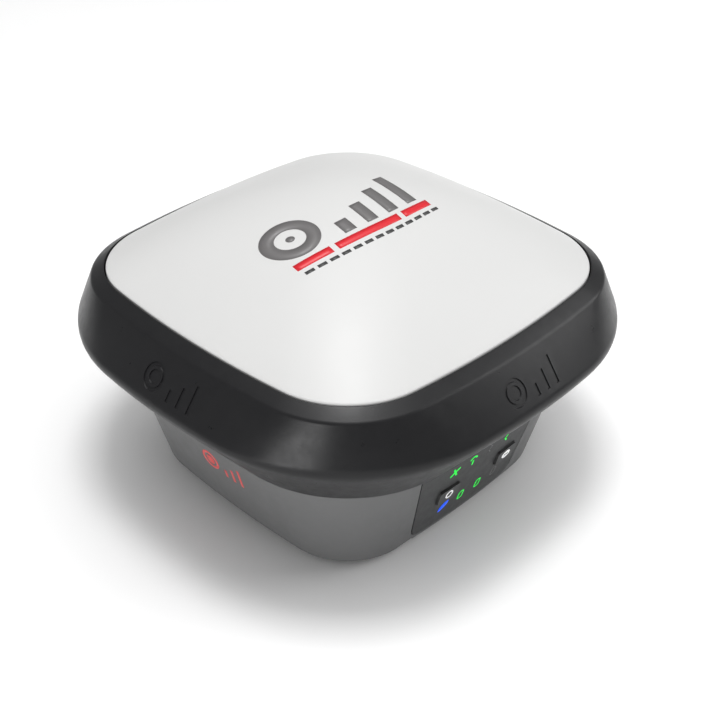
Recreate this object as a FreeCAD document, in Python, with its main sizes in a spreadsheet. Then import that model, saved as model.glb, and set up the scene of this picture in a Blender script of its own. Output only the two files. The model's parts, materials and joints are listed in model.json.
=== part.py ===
import FreeCAD, Part
import math
import os
import re
import Sketcher

# A surveying receiver: a white radome over a square plastic housing, a dark rubber bumper ring round the
# waist, a keypad on the front wall (-Y), a battery cover on the back wall (+Y) and a 5/8-11 pole thread
# underneath. Millimetres, +Z up, origin at the middle of the pole-mount face that the receiver stands on.

V = FreeCAD.Vector
X_AXIS = V(1, 0, 0)
Z_AXIS = V(0, 0, 1)
RIGHT_ANGLE = 90

SIZES = {
    # outer form: every level curve is a square with bowed sides and round corners
    "width": 173,              # across the bumper's crest
    "height": 108,             # mount face to the top of the radome
    "crest_side": 272.6,       # radius of the bowed sides at the crest
    "crest_corner": 63.5,
    "crest_drop": 18.7,        # seam line down to the crest
    "seam_inset": 16.4,        # crest in to the seam, on a flat
    "seam_side": 370,
    "seam_corner": 31,
    "seam_gap": 0.5,
    "crease_step": 5.4,        # seam out to the bumper's top crease
    "crease_drop": 3,
    "dome_height": 26.5,
    "dome_power": 2,
    "dome_thinning": 0.6,      # share of the wall taken off the inner dome's rise
    "lip_drop": 35.2,          # seam line down to the bumper's lower lip
    "lip_proud": 6,            # lip beyond the housing wall
    "foot_inset": 30.7,        # crest in to the housing's foot
    "foot_side": 431.5,
    "foot_corner": 25.25,
    "foot_level": 1,
    "rim_inset": 1.3,          # seam in to the housing's top rim
    # shells
    "wall": 2.5,
    "bumper_wall": 3,
    "hook_height": 5.7,        # thickness of the bumper's lower hook
    "hook_gap": 0.4,
    "top_hook": 5.5,
    "floor_level": 1.5,
    "foot_fillet": 4,
    "seal": 1,                 # thickness of the two housing gaskets
    "seal_width": 1.7,
    "seal_inset": 0.4,
    "plate": 3,                # midframe plate
    "flange_proud": 0.8,
    "boss_rise": 3,            # floor up to the top of the floor bosses
    "column_inset_x": 11.8,
    "column_inset_y": 19.8,
    "column_radius": 4,
    "column_gap": 0.6,
    "boss_out": 14.93,         # middle of the seam's corner arc out to the radome's screw bosses
    "boss_radius": 4,
    "boss_over": 5,            # how far the radome's bosses rise above the seam
    "screw_radius": 1.5,
    "screw_head": 2.75,
    "screw_head_height": 2.2,
    "screw_reach": 12,
    "socket_depth": 0.6,       # a screw's socket, as a share of its head's height
    "blind_end": 0.5,          # hole left beyond a screw's tip
    "head_gap": 0.3,
    "shank_gap": 0.1,
    "seat_rise": 0.5,          # case screw heads' seats above the floor
    "seat_wall": 1.5,          # floor bosses round the columns' ends
    "spare": 1,                # how far cutting shapes run past what they cut
    # pole mount
    "ring_radius": 20,
    "ring_height": 3,
    "insert_radius": 10,
    "insert_height": 22,
    "insert_flange": 14,
    "insert_flange_thick": 2.5,
    "insert_sink": 0.3,        # ring's face in to the insert's face
    "thread_radius": 6.8,      # minor radius of a 5/8-11 thread
    "thread_depth": 18,
    "ring_screw_circle": 15.5,
    "ring_boss": 24,
    "small_screw": 1.25,
    "small_head": 2.4,
    "small_head_height": 2,
    "ring_lip": 1,             # ring left above its screws' heads
    "mount_screw_sink": 0.4,
    "vent_radius": 6,
    "vent_stem": 4,
    "vent_offset": 8,          # floor boss's edge to the vent's centre
    "vent_sink": 0.2,
    "vent_thick": 1.2,
    "vent_reach": 2,           # vent's stem above the floor
    "label_half_x": 17,
    "label_half_y": 7,
    "label_y": 37,
    "label_thick": 0.4,
    # keypad
    "panel_thickness": 1.2,
    "panel_gap": 0.5,
    "panel_bottom": 4.1,       # distances up the wall, from the foot
    "panel_top": 43,
    "panel_foot_half": 25.5,
    "panel_top_half": 30.5,
    "panel_corner": 5,
    "key_width": 10,
    "key_height": 6.6,
    "key_corner": 1.2,
    "key_gap": 0.3,
    "key_proud": 0.9,
    "key_depth": 2.6,
    "key_flange": 1,
    "key_pitch": 30.4,
    "key_centre": 2.6,
    "key_rise": 19.7,
    "key_dome": 2.5,
    "key_dome_rise": 0.6,
    "lamp_pitch": 9,
    "lamp_centre": 1.2,
    "lamp_row": 10.2,          # key row to a lamp row
    "pipe_radius": 1.1,
    "pipe_end": 0.9,           # keypad board to the light pipes
    "overlay": 0.4,            # panel skin left over each light pipe
    "lamp_half": 0.8,
    "lamp_tall": 0.6,
    "lamp_thick": 0.8,
    "pad_board_depth": 4.2,
    "pad_board_thickness": 1.2,
    "window_margin": 2.8,
    "window_head": 1.5,        # window's extra height above the upper lamps
    "ledge": 4,
    "ledge_lap": 0.4,          # ledge's overlap with the wall
    "ledge_gap": 0.3,
    "pad_screw": 0.8,
    "pad_screw_head": 1,
    "pad_screw_bite": 0.5,     # wall left outside the pad screws' holes, beyond its thickness
    "flex_half": 6,
    "flex_thick": 0.3,
    "flex_lap": 8,             # main board's edge in to the flat cable
    # battery
    "battery_length": 70,
    "battery_thick": 20.6,
    "battery_level": 10.2,
    "battery_setback": 2.7,
    "battery_edge": 2,
    "bay_gap": 0.5,
    "bay_wall": 1.5,
    "bay_clear": 0.3,          # insert's flange to the bay
    "bay_flange": 2.6,
    "bay_seat": 1.1,           # housing's inner face in to the bay's mouth
    "bay_flange_thick": 2,
    "bay_screw_side": 5,       # battery's side in to the bay's screws
    "bay_screw_front": 8,
    "bay_screw_back": 7,
    "bay_screw_bite": 1.4,
    "bay_head_sink": 1.3,
    "bay_head_gap": 0.1,
    "mouth_reach": 12,         # battery's back in to the start of the back opening
    "contact_half": 10,
    "contact_rise": 5,         # bay's floor to the contact block
    "contact_tall": 10,
    "contact_half_thick": 1.4,
    "contact_sink": 0.4,       # bay's inner face in to the contact block
    "blade_half": 1.2,
    "blade_half_thick": 0.9,
    "blade_pitch": 6,
    "blade_margin": 2,
    "blade_gap": 0.1,
    "lead_radius": 0.7,
    "lead_at": 8,
    "lead_step": 3,
    "cover_half": 41,
    "cover_bottom": 5.5,
    "cover_top": 41,
    "cover_corner": 6,
    "cover_gap": 0.4,
    "cover_seal": 0.8,
    "cover_rib": 2,
    "cover_rib_inset": 7,
    "seal_lip": 0.7,           # bay's side out to the cover seal's inner edge
    "seal_trim": 0.4,          # cover seal's outer edge inside the bay's flange
    "latch_rise": 34,
    "latch_travel": 3,
    "latch_half": 7,
    "latch_gap": 0.3,
    "latch_recess": 1,
    "latch_step": 2,           # how far the knob and the bolt overlap the stem's ends
    "knob_half": 2,
    "knob_back": 0.85,
    "knob_proud": 0.6,
    "knob_cut": 0.2,           # wall's face out to the bottoms of the knob's grooves
    "groove_half": 0.25,
    "groove_pitch": 0.8,
    "stem_half": 1,
    "stem_end": 0.5,
    "bolt_near": 0.35,
    "bolt_far": 2.3,
    "bolt_low": 1.4,
    "bolt_high": 6,
    # boards
    "board_drop": 16,          # midframe down to the main board
    "board": 1.6,
    "board_inset": 12.8,
    "board_corner": 20,
    "can_corner": 1,
    "coax_hole": 6,
    "standoff_hole": 8,
    "standoff_x": 48,
    "standoff_y": 14,
    "standoff_radius": 3.2,
    "card_x": -23,
    "card_width": 11,
    "card_length": 15,
    "card_thick": 0.8,
    "card_drop": 1.6,          # main board down to the card
    "card_proud": 1,
    "card_gap": 0.3,
    "slot_gap": 0.2,
    "slot_end": 0.1,
    "socket_wall": 1.5,
    "socket_thick": 2.4,
    "socket_lap": 1,
    # antenna
    "stack_lift": 6,
    "ground_radius": 58,
    "ground_thick": 1.5,
    "lower_patch": 76,
    "lower_patch_thick": 7,
    "upper_patch": 54,
    "upper_patch_thick": 6,
    "feed_circle": 9,
    "feed_radius": 0.8,
    "feed_proud": 0.4,
    "patch_corner": 4,
    "post_radius": 3,
    "post_at": 32,
    "amplifier_half_x": 20,
    "amplifier_half_y": 15,
    "amplifier_tall": 3.6,
    "receiver_can": 4,         # height of the satellite receiver's can
    "coax_radius": 0.7,
    "coax_x": 26,
    "coax_y": 8,
    "coax_run": 5.4,           # straight run at either end
    # ports
    "port_x": 32,
    "port_y": -20,
    "well_radius": 11.5,
    "well_wall": 2,
    "well_roof": 14,
    "port_seal": 0.8,
    "data_nose": 7,
    "data_bore": 5.5,
    "antenna_nose": 5.5,
    "antenna_bore": 4,
    "port_flange": 2.5,
    "port_flange_thick": 1.5,
    "port_reach": 8.2,         # the nose below the roof's seal
    "port_back": 9,
    "filling_sink": 4,
    "data_pin": 0.45,
    "data_pin_circle": 3.2,
    "antenna_pin": 0.6,
    "pin_sink": 1.5,
    "pin_out": 2,              # pins beyond the back of the shell
    "nut_tall": 3,
    "nut_rim": 3.1,
    "seal_rim": 2.2,
    "cap_lift": 0.7,           # floor's face in to the cap's end
    "cap_stop": 2,
    "cap_wall": 2,
    "cap_gap": 0.3,
}

DERIVED = {
    "crest_half": "width / 2",
    "seam_half": "width / 2 - seam_inset",
    "foot_half": "width / 2 - foot_inset",
    "rim_half": "seam_half - rim_inset",
    "seam_level": "height - dome_height",
    "crest_level": "seam_level - crest_drop",
    "crease_level": "seam_level - crease_drop",
    "lip_level": "seam_level - lip_drop",
    "hook_level": "lip_level + hook_height",
    "rim_level": "hook_level - seal",
    "plate_top": "hook_level + plate",
    "skirt_level": "plate_top + seal",
    "taper": "(rim_half - foot_half) / (rim_level - foot_level)",
    "lean": "atan(taper)",
    "floor_top": "floor_level + wall",
    "boss_top": "floor_top + boss_rise",
    "column_x": "foot_half - column_inset_x",
    "column_y": "foot_half - column_inset_y",
    "seam_bow": "seam_side - seam_half",
    "seam_middle": "(sqrt(2 * (seam_side - seam_corner) ^ 2 - seam_bow ^ 2) - seam_bow) / 2",
    "boss_at": "seam_middle + boss_out",
    "board_half": "rim_half - board_inset",
    "board_level": "hook_level - board_drop",
    "board_top": "board_level + board",
    "battery_half": "battery_length / 2",
    "battery_back": "foot_half + taper * (battery_level - foot_level) - wall - battery_setback",
    "bay_front": "insert_flange + bay_clear + bay_wall",
    "battery_front": "bay_front + 0.4 * bay_gap",
    "battery_depth": "battery_back - battery_front",
    "battery_top": "battery_level + battery_thick",
    "bay_half": "battery_half + bay_gap",
    "bay_bottom": "battery_level - 0.6 * bay_gap",
    "bay_top": "battery_top + bay_gap",
    "ground_level": "plate_top + stack_lift",
    "ground_top": "ground_level + ground_thick",
    "patch_level": "ground_top + lower_patch_thick",
    "patch_top": "patch_level + upper_patch_thick",
    "seat_level": "well_roof - port_seal",
}

VENT_Y = "-ring_boss - vent_offset"
WORD = re.compile(r"[a-z_]+")
doc = FreeCAD.newDocument("receiver")
sheet = doc.addObject("Spreadsheet::Sheet", "Size")
for row, (alias, size) in enumerate(SIZES.items(), start=1):
    sheet.set("A%d" % row, alias)
    sheet.set("B%d" % row, str(size))
    sheet.setAlias("B%d" % row, alias)
doc.recompute()

nodes = []


# ---------------------------------------------------------------- sizes, placing and solids
def full(text):
    """The expression with derived names opened up and the driving sizes read from the sheet."""
    def opened(match):
        word = match.group(0)
        if word in DERIVED:
            return "(" + full(DERIVED[word]) + ")"
        if word in SIZES:
            return "Size." + word
        return word
    return WORD.sub(opened, str(text))


def value(text):
    """The expression's number now."""
    result = sheet.evalExpression(full(text))
    return float(getattr(result, "Value", result))


def bind(item, prop, text):
    item.setExpression(prop, full(text))


def place(item, x=0, y=0, z=0):
    bind(item, "Placement.Base.x", x)
    bind(item, "Placement.Base.y", y)
    bind(item, "Placement.Base.z", z)
    return item


def box(name, xs, ys, zs):
    """A box between two x, two y and two z values."""
    item = doc.addObject("Part::Box", name)
    for prop, (low, high) in zip(("Length", "Width", "Height"), (xs, ys, zs)):
        bind(item, prop, "(%s) - (%s)" % (high, low))
    return place(item, xs[0], ys[0], zs[0])


def centred(name, half_x, half_y, zs, x=0, y=0):
    """A box about an upright line through x, y."""
    xs = ("(%s) - (%s)" % (x, half_x), "(%s) + (%s)" % (x, half_x))
    ys = ("(%s) - (%s)" % (y, half_y), "(%s) + (%s)" % (y, half_y))
    return box(name, xs, ys, zs)


def rod(name, radius, zs, x=0, y=0):
    """An upright cylinder."""
    item = doc.addObject("Part::Cylinder", name)
    bind(item, "Radius", radius)
    bind(item, "Height", "(%s) - (%s)" % (zs[1], zs[0]))
    return place(item, x, y, zs[0])


def on_wall(item, side, x, depth, rise, tipped=0):
    """Stands an item on the leaning front (side 1) or back (side -1) wall: its y axis runs square
    through the wall towards +Y and its z axis up the wall. Tipped -90 degrees, its z axis runs
    through the wall instead; tipped +90, its y axis runs up the wall and its z axis towards -Y."""
    turn = "(%d) * lean" % side
    place(item, x,
          "-(%d) * foot_half + (%s) * cos(%s) - (%s) * sin(%s)" % (side, depth, turn, rise, turn),
          "foot_level + (%s) * sin(%s) + (%s) * cos(%s)" % (depth, turn, rise, turn))
    item.Placement.Rotation = FreeCAD.Rotation(X_AXIS, 1)
    bind(item, "Placement.Rotation.Angle", "%s + (%d) * 1 deg" % (turn, tipped))
    return item


def wall_box(name, side, xs, depths, rises):
    """A box standing on the leaning wall, by x, depth through the wall and rise up it."""
    item = box(name, xs, depths, rises)
    return on_wall(item, side, xs[0], depths[0], rises[0])


def wall_rod(name, side, radius, x, depths, rise):
    """A cylinder square to the leaning wall."""
    item = rod(name, radius, depths)
    return on_wall(item, side, x, depths[0], rise, tipped=-RIGHT_ANGLE)


def softened(name, base, radius, along):
    """The base with its straight edges along one direction rounded."""
    doc.recompute()
    edges = [number for number, edge in enumerate(base.Shape.Edges, start=1)
             if edge.Curve.TypeId == "Part::GeomLine"
             and edge.tangentAt(edge.FirstParameter).cross(along).Length < 1e-6]
    return rounded(name, base, radius, edges)


def rounded(name, base, radius, edges):
    item = doc.addObject("Part::Fillet", name)
    item.Base = base
    size = value(radius)
    item.Edges = [(number, size, size) for number in edges]
    return item


def across_wall(side):
    """The direction square through the leaning wall."""
    turn = math.radians(side * value("lean"))
    return V(0, math.cos(turn), math.sin(turn))


def fuse(name, *items):
    item = doc.addObject("Part::MultiFuse", name)
    item.Shapes = list(items)
    return item


def cut(name, base, *tools):
    item = doc.addObject("Part::Cut", name)
    item.Base = base
    item.Tool = tools[0] if len(tools) == 1 else fuse(name + "_tools", *tools)
    return item


def common(name, *items):
    item = doc.addObject("Part::MultiCommon", name)
    item.Shapes = list(items)
    return item


def group(name, items):
    """Identical separate solids that share one node."""
    item = doc.addObject("Part::Compound", name)
    item.Links = list(items)
    return item


def node(item, label):
    """Registers a finished sub-part under its own label."""
    item.Label = label
    nodes.append(item)
    return item


# ---------------------------------------------------------------- level curves and lofts
def level(name, half, side, corner, z):
    """A square level curve at height z: four bowed sides and four round corners, all tangent."""
    sketch = doc.addObject("Sketcher::SketchObject", name)
    half_now, side_now, corner_now = value(half), value(side), value(corner)
    bow = side_now - half_now
    middle = (math.sqrt(2 * (side_now - corner_now) ** 2 - bow ** 2) - bow) / 2
    swing = math.atan2(middle, middle + bow)
    turn = math.pi / 2
    place(sketch, z=z)
    for number in range(4):
        angle = number * turn
        centre = V(-bow * math.cos(angle), -bow * math.sin(angle), 0)
        arc(sketch, centre, side_now, angle - swing, angle + swing)
        angle += turn / 2
        reach = middle * math.sqrt(2)
        centre = V(reach * math.cos(angle), reach * math.sin(angle), 0)
        arc(sketch, centre, corner_now, angle - turn / 2 + swing, angle + turn / 2 - swing)
    for number in range(8):
        sketch.addConstraint(Sketcher.Constraint("Tangent", number, 2, (number + 1) % 8, 1))
    for number in range(4):
        axis = -1 if number % 2 == 0 else -2
        sketch.addConstraint(Sketcher.Constraint("PointOnObject", 2 * number, 3, axis))
    for number in range(1, 4):
        sketch.addConstraint(Sketcher.Constraint("Equal", 0, 2 * number))
        sketch.addConstraint(Sketcher.Constraint("Equal", 1, 2 * number + 1))
    offset = "(%s) - (%s)" % (side, half)
    dimension(sketch, side, "Radius", 0, side_now)
    dimension(sketch, corner, "Radius", 1, corner_now)
    dimension(sketch, offset, "DistanceX", 0, 3, -1, 1, bow)
    dimension(sketch, offset, "DistanceY", 2, 3, -1, 1, bow)
    dimension(sketch, offset, "DistanceX", -1, 1, 4, 3, bow)
    dimension(sketch, offset, "DistanceY", -1, 1, 6, 3, bow)
    return sketch


def arc(sketch, centre, radius, start, end):
    circle = Part.Circle(centre, Z_AXIS, radius)
    sketch.addGeometry(Part.ArcOfCircle(circle, start, end), False)


def dimension(sketch, text, kind, *places):
    number = sketch.addConstraint(Sketcher.Constraint(kind, *places))
    bind(sketch, "Constraints[%d]" % number, text)


def seam_curve(name, offset, z):
    sizes = ["%s + (%s)" % (size, offset) for size in ("seam_half", "seam_side", "seam_corner")]
    return level(name, *sizes, z)


def dome_curve(name, offset, z, scale):
    """The seam curve scaled down, and the rounder the smaller it is: its side and corner radii close
    in on its half-width."""
    sizes = ["(seam_half + (%s) + %s * (%s - seam_half)) * %s" % (offset, scale, size, scale)
             for size in ("seam_half", "seam_side", "seam_corner")]
    return level(name, *sizes, z)


def crest_curve(name, offset, z):
    sizes = ["%s + (%s)" % (size, offset) for size in ("crest_half", "crest_side", "crest_corner")]
    return level(name, *sizes, z)


def housing_curve(name, offset, z):
    """The housing wall at height z: the wall widens evenly from its foot to its rim."""
    grown = "taper * ((%s) - foot_level) + (%s)" % (z, offset)
    return level(name, *["%s + %s" % (size, grown) for size in ("foot_half", "foot_side", "foot_corner")], z)


def loft(name, *sections):
    item = doc.addObject("Part::Loft", name)
    item.Sections = list(sections)
    item.Solid = True
    item.Ruled = True
    return item


def prism(name, offset, low, high):
    """An upright solid inside the seam curve."""
    return loft(name, seam_curve(name + "_low", offset, low), seam_curve(name + "_high", offset, high))


def skin(name, offset, low="floor_level", high="rim_level"):
    """A solid inside the housing's outer wall, moved out by the offset."""
    return loft(name, housing_curve(name + "_low", offset, low), housing_curve(name + "_high", offset, high))


def shell(name, outer, inner, low="floor_level - spare", high="rim_level"):
    """A layer of the housing's wall between two offsets."""
    return cut(name, skin(name + "_outer", outer, low, high),
               skin(name + "_inner", inner, low + " - spare", high + " + spare"))


def turned(name, profile, x=0, y=0):
    """A body of revolution about an upright axis: the profile is radius and height pairs."""
    body = doc.addObject("PartDesign::Body", name)
    sketch = body.newObject("Sketcher::SketchObject", name + "_profile")
    plane = [item for item in body.Origin.OriginFeatures if item.Role == "XZ_Plane"][0]
    sketch.AttachmentSupport = [(plane, "")]
    sketch.MapMode = "FlatFace"
    points = [V(value(radius), value(z), 0) for radius, z in profile]
    count = len(points)
    for number, point in enumerate(points):
        sketch.addGeometry(Part.LineSegment(point, points[(number + 1) % count]), False)
    for number, (radius, z) in enumerate(profile):
        sketch.addConstraint(Sketcher.Constraint("Coincident", number, 2, (number + 1) % count, 1))
        if radius == 0:
            sketch.addConstraint(Sketcher.Constraint("PointOnObject", number, 1, -2))
        else:
            dimension(sketch, radius, "DistanceX", -1, 1, number, 1, points[number].x)
        if value(z) == 0:
            sketch.addConstraint(Sketcher.Constraint("PointOnObject", number, 1, -1))
        else:
            dimension(sketch, z, "DistanceY", -1, 1, number, 1, points[number].y)
    turn = body.newObject("PartDesign::Revolution", name + "_turn")
    turn.Profile = sketch
    turn.ReferenceAxis = (sketch, ["V_Axis"])
    turn.Angle = 360
    body.Tip = turn
    return place(body, x, y)


def four(x, y):
    """The four places at plus and minus x and y."""
    return [("%s(%s)" % (a, x), "%s(%s)" % (b, y)) for a in "+-" for b in "+-"]


def screw(name, x, y, head, head_zs, shank, tip):
    """An upright screw: its head between two heights and its shank from the head to the tip."""
    near = head_zs[1] if value(tip) > value(head_zs[0]) else head_zs[0]
    ends = (near, tip) if value(tip) > value(near) else (tip, near)
    body = fuse(name, rod(name + "_head", head, head_zs, x, y), rod(name + "_shank", shank, ends, x, y))
    head_height = "((%s) - (%s))" % (head_zs[1], head_zs[0])
    socket = rod(name + "_socket", "(%s) / 2" % head,
                 ("(%s) - spare" % head_zs[0], "(%s) + socket_depth * %s" % (head_zs[0], head_height)), x, y)
    if value(tip) < value(head_zs[0]):
        place(socket, x, y, "(%s) - socket_depth * %s" % (head_zs[1], head_height))
    return cut(name + "_driven", body, socket)


# ---------------------------------------------------------------- shells
def build_radome():
    """The white cover: a low dome on an upright skirt, with four screw bosses."""
    def dome(name, offset):
        steps = (1, 0.97, 0.93, 0.88, 0.82, 0.74, 0.64, 0.52, 0.38, 0.22, 0.07)
        rise = "seam_level + (dome_height + dome_thinning * (%s)) * (1 - %s ^ dome_power)"
        curves = [dome_curve("%s_%d" % (name, number), offset, rise % (offset, step), step)
                  for number, step in enumerate(steps)]
        bind(curves[-1], "Placement.Base.z", "height + (%s)" % offset)
        return loft(name, *curves)
    outer = fuse("radome_form", dome("dome", "0"), prism("skirt", "0", "skirt_level", "seam_level"))
    inner = fuse("radome_hollow", dome("dome_inside", "-wall"),
                 prism("skirt_inside", "-wall", "skirt_level - spare", "seam_level"))
    bosses = [rod("radome_boss", "boss_radius", ("skirt_level", "seam_level + boss_over"), x, y)
              for x, y in four("boss_at", "boss_at")]
    holes = [rod("radome_hole", "screw_radius", ("skirt_level - spare", "skirt_level + screw_reach"), x, y)
             for x, y in four("boss_at", "boss_at")]
    posts = common("radome_posts", fuse("radome_bosses", *bosses), outer)
    body = fuse("radome_body", cut("radome_shell", outer, inner), posts)
    node(cut("radome_drilled", body, *holes), "radome")


def build_bumper():
    """The rubber ring: three sloping outer bands, hollow behind, with a hook above and below."""
    crest = crest_curve("bumper_crest", "0", "crest_level")
    crease = seam_curve("bumper_crease", "crease_step", "crease_level")
    outer = fuse("bumper_form",
                 loft("bumper_low", housing_curve("bumper_lip", "lip_proud", "lip_level"), crest),
                 loft("bumper_high", crest, crease),
                 loft("bumper_top", crease, seam_curve("bumper_edge", "seam_gap", "seam_level")))
    crest_in = crest_curve("bumper_crest_in", "-bumper_wall", "crest_level")
    hollow = fuse("bumper_hollow",
                  loft("hollow_low", housing_curve("hollow_lip", "lip_proud - bumper_wall", "lip_level"),
                       crest_in),
                  loft("hollow_high", crest_in,
                       seam_curve("hollow_crease", "crease_step - bumper_wall", "seam_level - top_hook")))
    below = centred("hook_slab", "width", "width", ("0", "hook_level"))
    chamber = cut("bumper_chamber", hollow, below)
    top = prism("bumper_mouth", "seam_gap", "seam_level - top_hook - spare", "seam_level + spare")
    bottom = skin("bumper_throat", "hook_gap", "lip_level - spare", "hook_level + spare")
    node(cut("bumper_body", outer, chamber, top, bottom), "bumper_ring")


def build_housing():
    """The lower shell: leaning walls, floor with the mount, port wells and bosses, and the openings."""
    outer = skin("housing_form", "0")
    doc.recompute()
    low = outer.Shape.BoundBox.ZMin + 1e-4
    foot_edges = [number for number, edge in enumerate(outer.Shape.Edges, start=1) if edge.BoundBox.ZMax < low]
    outer = rounded("housing_round", outer, "foot_fillet", foot_edges)
    body = cut("housing_shell", outer, skin("housing_hollow", "-wall", "floor_top", "rim_level + spare"))
    solids = [body, rod("mount_boss", "ring_boss", ("floor_top - spare", "boss_top"))]
    tools = [rod("ring_seat", "ring_radius", ("0", "ring_height")),
             rod("insert_hole", "insert_radius", ("0", "boss_top + spare"))]
    for x, y in four("column_x", "column_y"):
        solids.append(rod("column_seat", "column_radius + seat_wall", ("floor_top - spare", "boss_top"), x, y))
        tools.append(rod("head_seat", "screw_head + head_gap", ("0", "floor_top + seat_rise"), x, y))
        tools.append(rod("shank_hole", "screw_radius + shank_gap", ("0", "boss_top + spare"), x, y))
    for sign, nose in ((-1, "data_nose"), (1, "antenna_nose")):
        x = "%d * port_x" % sign
        solids.append(rod("well", "well_radius + well_wall", ("floor_top - spare", "well_roof + wall"),
                          x, "port_y"))
        tools.append(rod("well_hollow", "well_radius", ("0", "well_roof"), x, "port_y"))
        tools.append(rod("port_hole", nose, ("well_roof - spare", "well_roof + wall + spare"), x, "port_y"))
    for x, y in ring_screw_places():
        tools.append(rod("ring_screw_hole", "small_screw", ("0", "boss_top - blind_end"), x, y))
    for x, y in bay_screw_places():
        tools.append(rod("bay_screw_hole", "small_screw",
                         ("floor_top - bay_screw_bite", "floor_top + spare"), x, y))
    tools.append(rod("vent_hole", "vent_stem", ("0", "floor_top + spare"), "0", VENT_Y))
    tools.append(rod("vent_seat", "vent_radius", ("0", "floor_level + vent_thick"), "0", VENT_Y))
    tools.append(label_slab("label_seat", "0"))
    tools.append(softened("cover_opening", cover_box("cover_opening_box", "cover_gap"),
                          "cover_corner + cover_gap", V(0, 1, 0)))
    solids.append(pad_ledge())
    tools.append(common("pad_pocket", shell("pad_layer", "spare", "-panel_thickness"),
                        panel_prism("pad_cut", "panel_gap")))
    tools.append(pad_window("pad_window", "-spare", "pad_board_depth + spare", "0"))
    for x, rise in pad_screw_places():
        tools.append(wall_rod("pad_hole", 1, "pad_screw", x,
                              ("wall + pad_screw_bite", "pad_board_depth + spare"), rise))
    node(cut("housing_cut", fuse("housing_solid", *solids), *tools), "lower_housing")


def cover_box(name, gap):
    """The battery cover's outline as a box through the back wall."""
    return box(name, ("-cover_half - (%s)" % gap, "cover_half + (%s)" % gap),
               ("battery_back - mouth_reach", "width / 2"),
               ("cover_bottom - (%s)" % gap, "cover_top + (%s)" % gap))


def build_midframe():
    """The aluminium plate that joins the shells, with screw columns down and board standoffs."""
    plate = prism("plate_form", "flange_proud", "hook_level", "plate_top")
    solids = [plate]
    tools = [rod("coax_way", "coax_hole", ("hook_level - spare", "plate_top + spare"))]
    for x, y in four("column_x", "column_y"):
        solids.append(rod("column", "column_radius", ("boss_top", "hook_level + spare"), x, y))
        tools.append(rod("column_hole", "screw_radius", ("boss_top - spare", "boss_top + screw_reach"), x, y))
    for x, y in four("standoff_x", "standoff_y"):
        solids.append(rod("standoff", "standoff_radius", ("board_top", "hook_level + spare"), x, y))
        tools.append(rod("standoff_bore", "small_screw",
                         ("board_top - spare", "board_top + standoff_hole"), x, y))
    for x, y in four("boss_at", "boss_at"):
        tools.append(rod("boss_hole", "screw_radius + shank_gap",
                         ("hook_level - spare", "plate_top + spare"), x, y))
    node(cut("midframe_drilled", fuse("midframe_solid", *solids), *tools), "midframe")


def build_gaskets():
    """The two flat rubber seals that follow the housing's rim and the radome's skirt."""
    rim = cut("rim_seal", skin("rim_seal_out", "-seal_inset", "rim_level", "hook_level"),
              skin("rim_seal_in", "-seal_inset - seal_width", "rim_level - spare", "hook_level + spare"))
    trim = centred("rim_seal_slab", "width", "width", ("rim_level", "hook_level"))
    node(common("rim_seal_trim", rim, trim), "housing_gasket")
    node(cut("skirt_seal", prism("skirt_seal_out", "-seal_inset", "plate_top", "skirt_level"),
             prism("skirt_seal_in", "-seal_inset - seal_width", "plate_top - spare", "skirt_level + spare")),
         "radome_gasket")


def build_case_screws():
    """Four screws up into the columns and four up into the radome's bosses."""
    housing = [screw("housing_screw", x, y, "screw_head",
                     ("floor_top + seat_rise - screw_head_height", "floor_top + seat_rise"),
                     "screw_radius", "boss_top + screw_reach - blind_end")
               for x, y in four("column_x", "column_y")]
    node(group("housing_screw_set", housing), "housing_screws")
    radome = [screw("radome_screw", x, y, "screw_head", ("hook_level - screw_head_height", "hook_level"),
                    "screw_radius", "skirt_level + screw_reach - blind_end")
              for x, y in four("boss_at", "boss_at")]
    node(group("radome_screw_set", radome), "radome_screws")


# ---------------------------------------------------------------- pole mount and underside
def ring_screw_places():
    return four("ring_screw_circle * cos(45)", "ring_screw_circle * sin(45)")


def build_mount():
    """The steel ring that the receiver stands on and the threaded insert behind it."""
    washer = turned("ring_body", [("insert_radius", "0"), ("ring_radius", "0"),
                                  ("ring_radius", "ring_height"), ("insert_radius", "ring_height")])
    holes = []
    for x, y in ring_screw_places():
        holes.append(rod("ring_hole", "small_screw", ("-spare", "ring_height + spare"), x, y))
        holes.append(rod("ring_head_seat", "small_head", ("-spare", "ring_height - ring_lip"), x, y))
    node(cut("ring_drilled", washer, *holes), "mount_ring")
    flange_top = "boss_top + insert_flange_thick"
    bore_end = "insert_sink + thread_depth"
    node(turned("insert_body", [("thread_radius", "insert_sink"), ("insert_radius", "insert_sink"),
                                ("insert_radius", "boss_top"), ("insert_flange", "boss_top"),
                                ("insert_flange", flange_top), ("insert_radius", flange_top),
                                ("insert_radius", "insert_height"), (0, "insert_height"), (0, bore_end),
                                ("thread_radius", bore_end)]), "mount_insert")
    screws = [screw("mount_screw", x, y, "small_head", ("mount_screw_sink", "ring_height - ring_lip"),
                    "small_screw", "boss_top - blind_end")
              for x, y in ring_screw_places()]
    node(group("mount_screw_set", screws), "mount_screws")


def label_slab(name, low):
    return centred(name, "label_half_x", "label_half_y", (low, "floor_level + label_thick"), "0", "label_y")


def build_underside():
    """The pressure-equalising vent and the blank label plate in the floor."""
    face = "floor_level + vent_sink"
    step = "floor_level + vent_thick"
    end = "floor_top + vent_reach"
    node(turned("vent_body", [(0, face), ("vent_radius", face), ("vent_radius", step), ("vent_stem", step),
                              ("vent_stem", end), (0, end)], "0", VENT_Y), "pressure_vent")
    node(label_slab("label_body", "floor_level"), "label_plate")


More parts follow.
